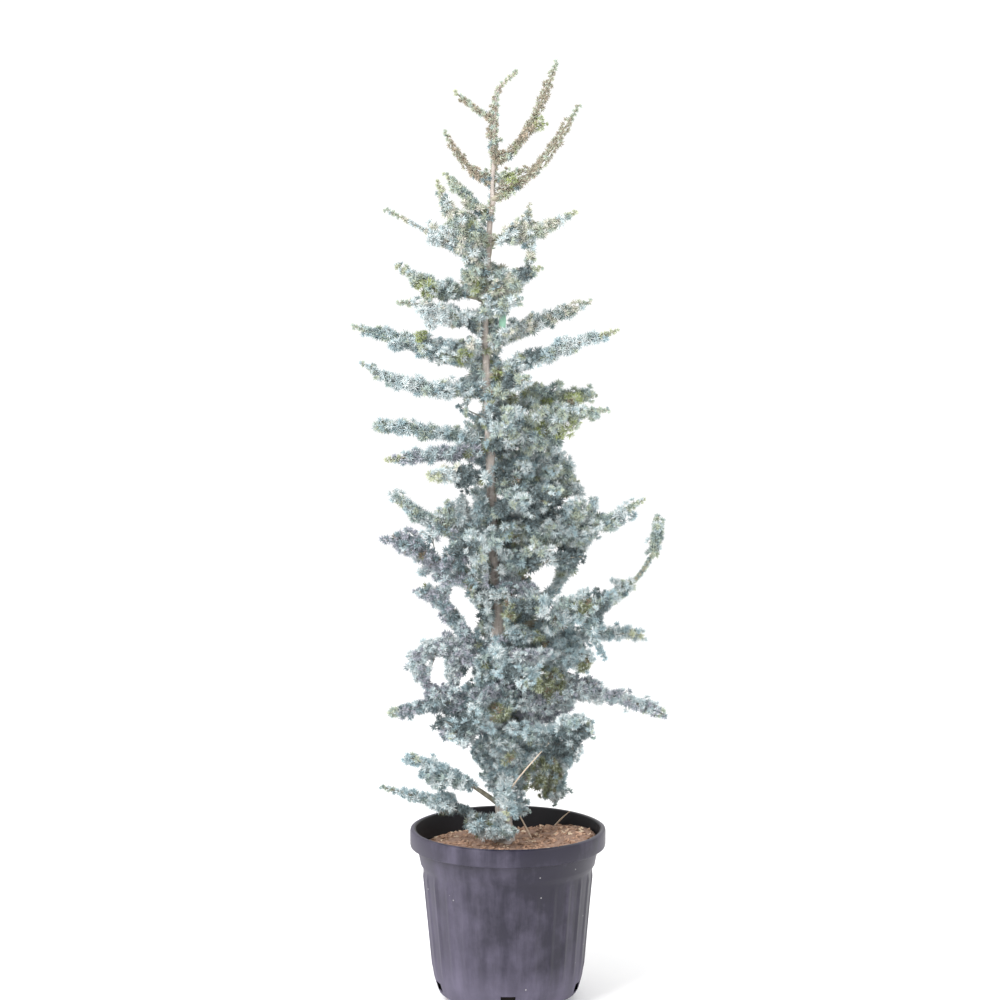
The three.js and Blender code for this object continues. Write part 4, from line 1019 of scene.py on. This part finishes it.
# what each part of the tree wears, dealt out evenly among its sprays
palettes = {
    "leader": ("sage", "fawn", "taupe", "taupe", "taupe"),
    "upper": ("paleGrey", "silver", "sage", "paleGrey", "blueGreen", "sage"),
    "green": ("silver", "powderBlue", "sage", "blueGreen", "sage"),
    # silver-heavy sprays: painted light, so that limbs turned away from the lamps look lit
    "paintedLightPale": ("silver", "silver", "blueGreen", "paleGrey", "silver"),
    # lilac tint, silver-heavy: painted light for limbs turned away from the lamps
    "mauvePaintedLight": ("silver", "lilacGrey", "silver", "powderBlue", "lilacGrey"),
    "body": ("silver", "silver", "powderBlue", "powderBlue", "tealBlue", "blueGreen", "sage"),
    # lilac tint, partly darkened with the shade colour as painted shade
    "lilac": ("powderBlue", "lilacGrey", "lilacGrey", "shade", "powderBlue", "lilacGrey"),
    "low": ("silver", "powderBlue", "tealBlue", "tealBlue", "powderBlue", "blueGreen"),
}
# limbs that differ from their height's palette, and the height that each of the others starts from
wornBy = {
    "green": {"left_4", "right_5", "right_6", "right_11"},
    # limbs turned away from the lamps, paler by painted light
    "paintedLightPale": {"left_3", "left_5", "left_10", "right_3"},
    # limbs turned away from the lamps: lilac tint, paler by painted light
    "mauvePaintedLight": {"left_14", "right_14"},
    # lower left limbs: lilac tint, darkened by painted shade
    "lilac": {"left_9", "left_12", "left_13", "left_15", "left_16"},
}
wornFrom = (("leader", 1500), ("upper", 1300), ("body", 700), ("low", 0))
# shares of the rosettes that differ from their spray
colourSet = {
    "stray": 0.4, "innerTo": 0.25, "inner": 0.3, "innerShade": 0.6, "deadTo": 0.2, "dead": 0.04,
    "tipFrom": 0.86, "tip": 0.35, "highTip": 0.7, "highFrom": 900, "tipSage": 0.7,
    "aged": 0.75, "agedGreen": 0.9, "mossAbove": 450, "dark": 0.85,
}


def paletteOf(limb):
    for key, names in wornBy.items():
        if limb["wears"] in names:
            return palettes[key]
    return next(palettes[key] for key, start in wornFrom if limb["height"] > start)


def colourOf(limb, spurs, rng):
    twig, chance, limbShare = spurs["twig"], spurs["chance"], spurs["limbShare"]
    n = len(chance)
    palette = np.array(paletteOf(limb))
    dealt = (twig + colourSet["stray"] * chance) % 1 * len(palette)
    names = palette[dealt.astype(int)].astype("U12")
    inner = (limbShare < colourSet["innerTo"]) & (rng.uniform(0, 1, n) < colourSet["inner"])
    names = np.where(inner, np.where(chance < colourSet["innerShade"], "shade", "olive"), names)
    if "group" not in limb:
        often = colourSet["highTip" if limb["height"] > colourSet["highFrom"] else "tip"]
        tips = (limbShare > colourSet["tipFrom"]) & (spurs["level"] == 0) & (chance < often)
        names = np.where(tips, np.where(twig < colourSet["tipSage"], "sage", "youngGreen"), names)

    # the spots have a generator of their own, so that a new one leaves the needles where they are
    x, y = pixelsOf(spurs["base"])
    spotRng = np.random.default_rng([leafSet["seed"], n])

    def within(spot, share):
        across, down, radius = spot
        return ((x - across) ** 2 + (y - down) ** 2 < radius ** 2) & (spotRng.uniform(0, 1, n) < share)
    for spot in agedSpots:
        green = "moss" if spot[1] < colourSet["mossAbove"] else "olive"
        old = np.where(chance < colourSet["agedGreen"], green, "deadTan")
        names = np.where(within(spot, colourSet["aged"]), old, names)
    for spot in darkSpots:
        names = np.where(within(spot, colourSet["dark"]), "deepShade", names)
    dead = (limbShare < colourSet["deadTo"]) & (spotRng.uniform(0, 1, n) < colourSet["dead"])
    names = np.where(dead, "deadTan", names)
    return np.array([colourNames.index(name) for name in names], int)


# two directions square to each of the ways
def acrossTo(ways):
    helper = np.where(np.abs(ways[:, 2:3]) > 0.9, [[1.0, 0, 0]], [[0, 0, 1.0]])
    first = np.cross(ways, helper)
    first /= np.linalg.norm(first, axis=1, keepdims=True)
    return first, np.cross(ways, first)


# needles as slim keeled blades fanned round each spur's heading
def needleArrays(spurs, colours, rng):
    counts = spurs["needles"]
    owner = np.repeat(np.arange(len(counts)), counts)
    order = np.concatenate([np.arange(c) for c in counts])
    n = len(owner)
    base, heading = spurs["base"][owner], spurs["heading"][owner]
    u, v = acrossTo(heading)
    polar = spurs["cone"][owner] * np.sqrt((order + 0.5) / counts[owner])
    polar += rng.normal(0, needleSet["tiltWander"], n)
    turn = order * goldenTurn + spurs["twig"][owner] * needleSet["twigTurn"]
    turn += rng.normal(0, needleSet["turnWander"], n)
    way = heading * np.cos(polar)[:, None]
    way += (u * np.cos(turn)[:, None] + v * np.sin(turn)[:, None]) * np.sin(polar)[:, None]
    length = spurs["length"][owner] * (1 + rng.uniform(-1, 1, n) * needleSet["uneven"])
    p, q = acrossTo(way)
    roll = rng.uniform(0, 2 * math.pi, n)[:, None]
    p, q = p * np.cos(roll) + q * np.sin(roll), q * np.cos(roll) - p * np.sin(roll)
    half = needleSet["width"] / 2 * mm
    widest = base + way * length[:, None] * needleSet["widestAt"] - q * half * needleSet["keel"]
    point = base + way * length[:, None]
    verts = np.stack([base, widest + p * half, point, widest - p * half], axis=1).reshape(-1, 3)
    start = np.arange(n)[:, None, None] * 4
    faces = (start + np.array([[0, 1, 2], [0, 2, 3]])).reshape(-1, 3)
    own = colours[owner]
    mixed = np.where(rng.uniform(0, 1, n) < needleSet["mixed"], neighbourIndex[own], own)
    return verts, faces, np.repeat(mixed, 2)


# a tube of triangles round a line, with closed ends
def tubeArrays(line, rootRadius, tipRadius, sides):
    n = len(line)
    oddWay = (0.31, 0.17, 0.93)  # no twig points just there
    along = np.gradient(line, axis=0)
    along /= np.linalg.norm(along, axis=1, keepdims=True)
    across = np.cross(along, oddWay)
    across /= np.linalg.norm(across, axis=1, keepdims=True)
    beside = np.cross(along, across)
    radius = np.linspace(rootRadius, tipRadius, n)[:, None, None]
    turn = np.arange(sides) * 2 * math.pi / sides
    ring = across[:, None] * np.cos(turn)[None, :, None] + beside[:, None] * np.sin(turn)[None, :, None]
    verts = np.vstack([(line[:, None] + ring * radius).reshape(-1, 3), line[:1], line[-1:]])
    i, j = np.meshgrid(np.arange(n - 1), np.arange(sides), indexing="ij")
    a, b = i * sides + j, i * sides + (j + 1) % sides
    c, d = b + sides, a + sides
    side = np.concatenate([np.stack([a, b, c], -1).reshape(-1, 3), np.stack([a, c, d], -1).reshape(-1, 3)])
    k = np.arange(sides)
    foot = np.stack([(k + 1) % sides, k, np.full(sides, n * sides)], -1)
    last = (n - 1) * sides
    head = np.stack([last + k, last + (k + 1) % sides, np.full(sides, n * sides + 1)], -1)
    return verts, np.vstack([side, foot, head])


def meshFromArrays(name, verts, faces, indices):
    mesh = bpy.data.meshes.new(name)
    mesh.vertices.add(len(verts))
    mesh.vertices.foreach_set("co", verts.astype(np.float32).ravel())
    mesh.loops.add(faces.size)
    mesh.loops.foreach_set("vertex_index", faces.astype(np.int32).ravel())
    mesh.polygons.add(len(faces))
    mesh.polygons.foreach_set("loop_start", np.arange(0, faces.size, 3, dtype=np.int32))
    mesh.polygons.foreach_set("material_index", indices.astype(np.int32))
    mesh.update(calc_edges=True)
    mesh.validate()
    return mesh


def joined(parts):
    verts, faces, extra, start = [], [], [], 0
    for part in parts:
        verts.append(part[0])
        faces.append(part[1] + start)
        extra.append(part[2] if len(part) > 2 else np.zeros(len(part[1]), int))
        start += len(part[0])
    return np.vstack(verts), np.vstack(faces), np.concatenate(extra)


# the needles join by the record's slot and by side, so each piece stands for its own masses
slotFrom = (("pale_needles", 1400), ("blue_needles", 700), ("shaded_needles", 0))


def groupOf(limb):
    slot = next(slot for slot, start in slotFrom if limb["height"] > start)
    side = limb["name"].split("_")[0]
    return (slot, "top") if slot == "pale_needles" else (slot, side)


limbNamed = {limb["name"]: limb for limb in limbs}
branchlets = []


# a shoot joins the group of the limb near it
def addShoot(start, tip, near, sag, **traits):
    length = np.linalg.norm(tip - start)
    t = np.linspace(0, 1, leafSet["shootPoints"])[:, None]
    line = start + (tip - start) * t - upArray * sag * length * 4 * t * (1 - t)
    branchlets.append({"line": line, "length": length, "bare": 0.0, "group": groupOf(near), **traits})


for bearer, *shoots in branchletTable:
    for at, x, y, depth, brush in shoots:
        if bearer == "trunk":
            start = trunkPoint(at)
            near = min(limbs, key=lambda limb: abs(limb["height"] - at))
        else:
            near = limbNamed[bearer]
            start = lineAt(near["line"], at)[0]
        habit = "open" if near["habit"] == "rope" else near["habit"]
        addShoot(start, seenAt(x, y, depth), near, leafSet["sag"], name="shoot", wears=near["name"],
                 height=near["height"], brush=brush, habit=habit)

# the side that the photograph doesn't show is filled by short shoots round the back of the trunk
backSet = {
    "seed": 5, "from": 436, "to": 1390, "gap": 25, "bearing": (15, 165), "length": (58, 104),
    "rise": (0.05, 0.5), "brush": 25,
}
backRng = np.random.default_rng(backSet["seed"])
backLimbs = [limb for limb in limbs if limb["name"].startswith("back")]
for i in range(round((backSet["to"] - backSet["from"]) / backSet["gap"])):
    height = backSet["from"] + (i + backRng.uniform(*leafSet["jitter"])) * backSet["gap"]
    low, high = backSet["bearing"]
    turn = math.radians(low + (high - low) * (i * goldenTurn / (2 * math.pi) % 1))
    length = backRng.uniform(*backSet["length"]) * mm
    start = trunkPoint(height)
    way = np.array([math.cos(turn), math.sin(turn), backRng.uniform(*backSet["rise"])])
    near = min(backLimbs, key=lambda limb: abs(limb["height"] - height))
    addShoot(start, start + way * length, near, 0, name="rear", wears="rear", height=height,
             brush=backSet["brush"], habit=near["habit"])

# twig radius in mm, for a limb or shoot, a twig and an offshoot
twigSet = {"sides": 3, "rootRadius": (2.2, 1.6, 1.0), "tipRadius": 0.5}
needleParts, groupNodes, twigParts = {}, {}, []
for count, limb in enumerate(limbs + branchlets):
    rng = np.random.default_rng([leafSet["seed"], count])
    key = limb.get("group") or groupOf(limb)
    if "group" not in limb:
        groupNodes.setdefault(key, []).append("foliage_" + limb["name"])
    for shoot in growShoots(limb, rng):
        if shoot["level"] or "group" in limb:
            root = twigSet["rootRadius"][shoot["level"]] * mm
            twigParts.append(tubeArrays(shoot["line"], root, twigSet["tipRadius"] * mm, twigSet["sides"]))
        spurs = spursOn(limb, shoot, rng)
        if len(spurs["chance"]):
            needleParts.setdefault(key, []).append(needleArrays(spurs, colourOf(limb, spurs, rng), rng))

# the leader is clothed in short needles of its own
leaderSet = {"from": 1470, "points": 40, "length": 0.3, "height": 1700, "brush": 12}
leaderLine = evenLine(trunkLine[trunkLine[:, 2] > leaderSet["from"] * mm], leaderSet["points"])
leader = {"name": "leader", "wears": "leader", "height": leaderSet["height"], "brush": leaderSet["brush"]}
leaderShoot = {"line": leaderLine, "length": leaderSet["length"], "level": 0, "share": 0.0, "from": 0.0}
spurs = spursOn(leader, leaderShoot, rng)
needleParts[groupOf(leader)].append(needleArrays(spurs, colourOf(leader, spurs, rng), rng))

triangles = 0
for (slot, side), parts in needleParts.items():
    verts, faces, indices = joined(parts)
    mesh = meshFromArrays("needles", verts, faces, indices)
    addPiece(slot + "_" + side, mesh, needleFinishes, groupNodes[(slot, side)])
    triangles += len(faces)
    print("needles", slot, side, len(faces), "triangles")
verts, faces, indices = joined(twigParts)
# young twig bark: thin, dull, grey with a little green
twigBark = plainFinish("cedar_twig_bark", "#8c8c84", 0.85, {"Specular IOR Level": 0.2})
addPiece("twigs", meshFromArrays("twigs", verts, faces, indices), [twigBark], [])
print("foliage:", triangles, "needle triangles,", len(faces), "twig triangles")


# dead twigs: one leans out of the trunk's foot, one droops from there to the mix, one stands in the mix
deadTwigSet = {
    "lines": [
        [(503, 803, -10), (517, 780, -78), (549, 743, -118)],
        [(534, 844, 30), (522, 820, 5), (508, 797, -12)],
        [(552, 829, 140), (561, 819, 120), (570, 811, 100)],
    ],
    "radius": 2.2, "tip": 0.8, "sides": 6, "rings": 16, "knobble": 0.25, "knobbleSize": 7,
}


def makeDeadTwigs():
    bm = bmesh.new()

    def radiusAt(share, point, heading):
        radius = deadTwigSet["radius"] + (deadTwigSet["tip"] - deadTwigSet["radius"]) * share
        knobble = noise.noise(point / (deadTwigSet["knobbleSize"] * mm))
        return radius * mm * (1 + deadTwigSet["knobble"] * knobble)
    for pixels in deadTwigSet["lines"]:
        line = smoothLine([seenAt(*pixel) / mm for pixel in pixels], deadTwigSet["rings"]) * mm
        growWood(bm, line, radiusAt, deadTwigSet["sides"])
    bmesh.ops.recalc_face_normals(bm, faces=bm.faces)
    return meshFrom(bm, "dead_twigs", True)


# dry wood with the bark gone: straw-pale and dull
dryWood = plainFinish("dry_barkless_wood", "#cbbba8", 0.85, {"Specular IOR Level": 0.2})
addPiece("dead_twigs", makeDeadTwigs(), [dryWood], [])

# nursery tie tape: a band round the trunk, and a second whose loose end hangs to the right
tapeSet = {
    "bands": [(1352, 19), (1306, 12)], "over": 0.9, "thick": 0.7, "sides": 20,
    "tail": [(488, 306, -5), (497, 307, -14), (502, 314, -20), (502, 329, -20)], "tailSteps": 14,
    "tailWidth": 14, "tailThick": 0.8, "tailAcross": (0.9, -0.43, 0),
}


def makeTapes():
    bm = bmesh.new()
    foot, head = trunkSet["axis"][0][2], trunkSet["axis"][-1][2]
    for height, tall in tapeSet["bands"]:
        centre = Vector(trunkPoint(height))
        share = (height - foot) / (head - foot)
        inner = (trunkRadius(share, height) + tapeSet["over"]) * mm
        low = centre - upAxis * tall * mm / 2
        outer = inner + tapeSet["thick"] * mm
        profile = [(inner, 0), (outer, 0), (outer, tall * mm), (inner, tall * mm)]
        verts = [bm.verts.new(low + Vector((x, 0, z))) for x, z in profile]
        edges = [bm.edges.new((verts[i], verts[(i + 1) % 4])) for i in range(4)]
        bmesh.ops.spin(bm, geom=verts + edges, cent=low, axis=upAxis, angle=2 * math.pi,
                       steps=tapeSet["sides"], use_merge=True, use_duplicate=False)
    line = smoothLine([seenAt(*pixel) / mm for pixel in tapeSet["tail"]], tapeSet["tailSteps"]) * mm
    across = Vector(tapeSet["tailAcross"]) * tapeSet["tailWidth"] / 2 * mm
    edges = [bm.edges.new([bm.verts.new(Vector(line[0]) - across), bm.verts.new(Vector(line[0]) + across)])]
    tail = []
    for step in np.diff(line, axis=0):
        grown = bmesh.ops.extrude_edge_only(bm, edges=edges)["geom"]
        moved = [g for g in grown if isinstance(g, bmesh.types.BMVert)]
        bmesh.ops.translate(bm, verts=moved, vec=Vector(step))
        edges = [g for g in grown if isinstance(g, bmesh.types.BMEdge)]
        tail += [g for g in grown if isinstance(g, bmesh.types.BMFace)]
    bmesh.ops.solidify(bm, geom=tail, thickness=tapeSet["tailThick"] * mm)
    bmesh.ops.recalc_face_normals(bm, faces=bm.faces)
    return meshFrom(bm, "tie_tape", True)


# soft PVC tie tape: mint green, faded, faintly glossy
tiePvc = plainFinish("soft_pvc_tape", "#8fb9a3", 0.45, {"Specular IOR Level": 0.4})
addPiece("tie_tape", makeTapes(), [tiePvc], [])
print("dead twigs and tie tape placed")


# plain pale floor in metres, just under the pot, and soft studio light in metres and watts
stageSet = {
    "floorRadius": 9, "floorSides": 96, "floorDrop": 0.0005, "sky": 1.08,
    "softboxes": {
        "key": {"place": (-2.6, -2.8, 3.6), "target": (0, 0, 0.9), "size": 2.4, "power": 230},
        "fill": {"place": (3.2, -2.2, 2.4), "target": (0, 0, 0.8), "size": 2.6, "power": 50},
    },
}

bm = bmesh.new()
bmesh.ops.create_circle(bm, cap_ends=True, segments=stageSet["floorSides"], radius=stageSet["floorRadius"])
floorMesh = meshFrom(bm, "floor", False)
floor = bpy.data.objects.new("floor", floorMesh)
# matt paint: near white, hardly any shine
floorMesh.materials.append(plainFinish("matt_white_floor", "#fbfbfb", 0.9, {"Specular IOR Level": 0.1}))
bpy.context.scene.collection.objects.link(floor)
floor.location.z = -stageSet["floorDrop"]

world = bpy.data.worlds.new("studio")
world.use_nodes = True
sky = world.node_tree.nodes["Background"].inputs
sky["Color"].default_value = (1, 1, 1, 1)
sky["Strength"].default_value = stageSet["sky"]
bpy.context.scene.world = world


def addSoftbox(name, place, target, size, power):
    data = bpy.data.lights.new(name, "AREA")
    data.shape = "SQUARE"
    data.size = size
    data.energy = power
    lamp = bpy.data.objects.new(name, data)
    lamp.location = place
    lamp.rotation_euler = (Vector(target) - Vector(place)).to_track_quat("-Z", "Y").to_euler()
    bpy.context.scene.collection.objects.link(lamp)


for name, softbox in stageSet["softboxes"].items():
    addSoftbox(name, **softbox)
bpy.context.scene.view_settings.view_transform = "Standard"
print("stage lit")
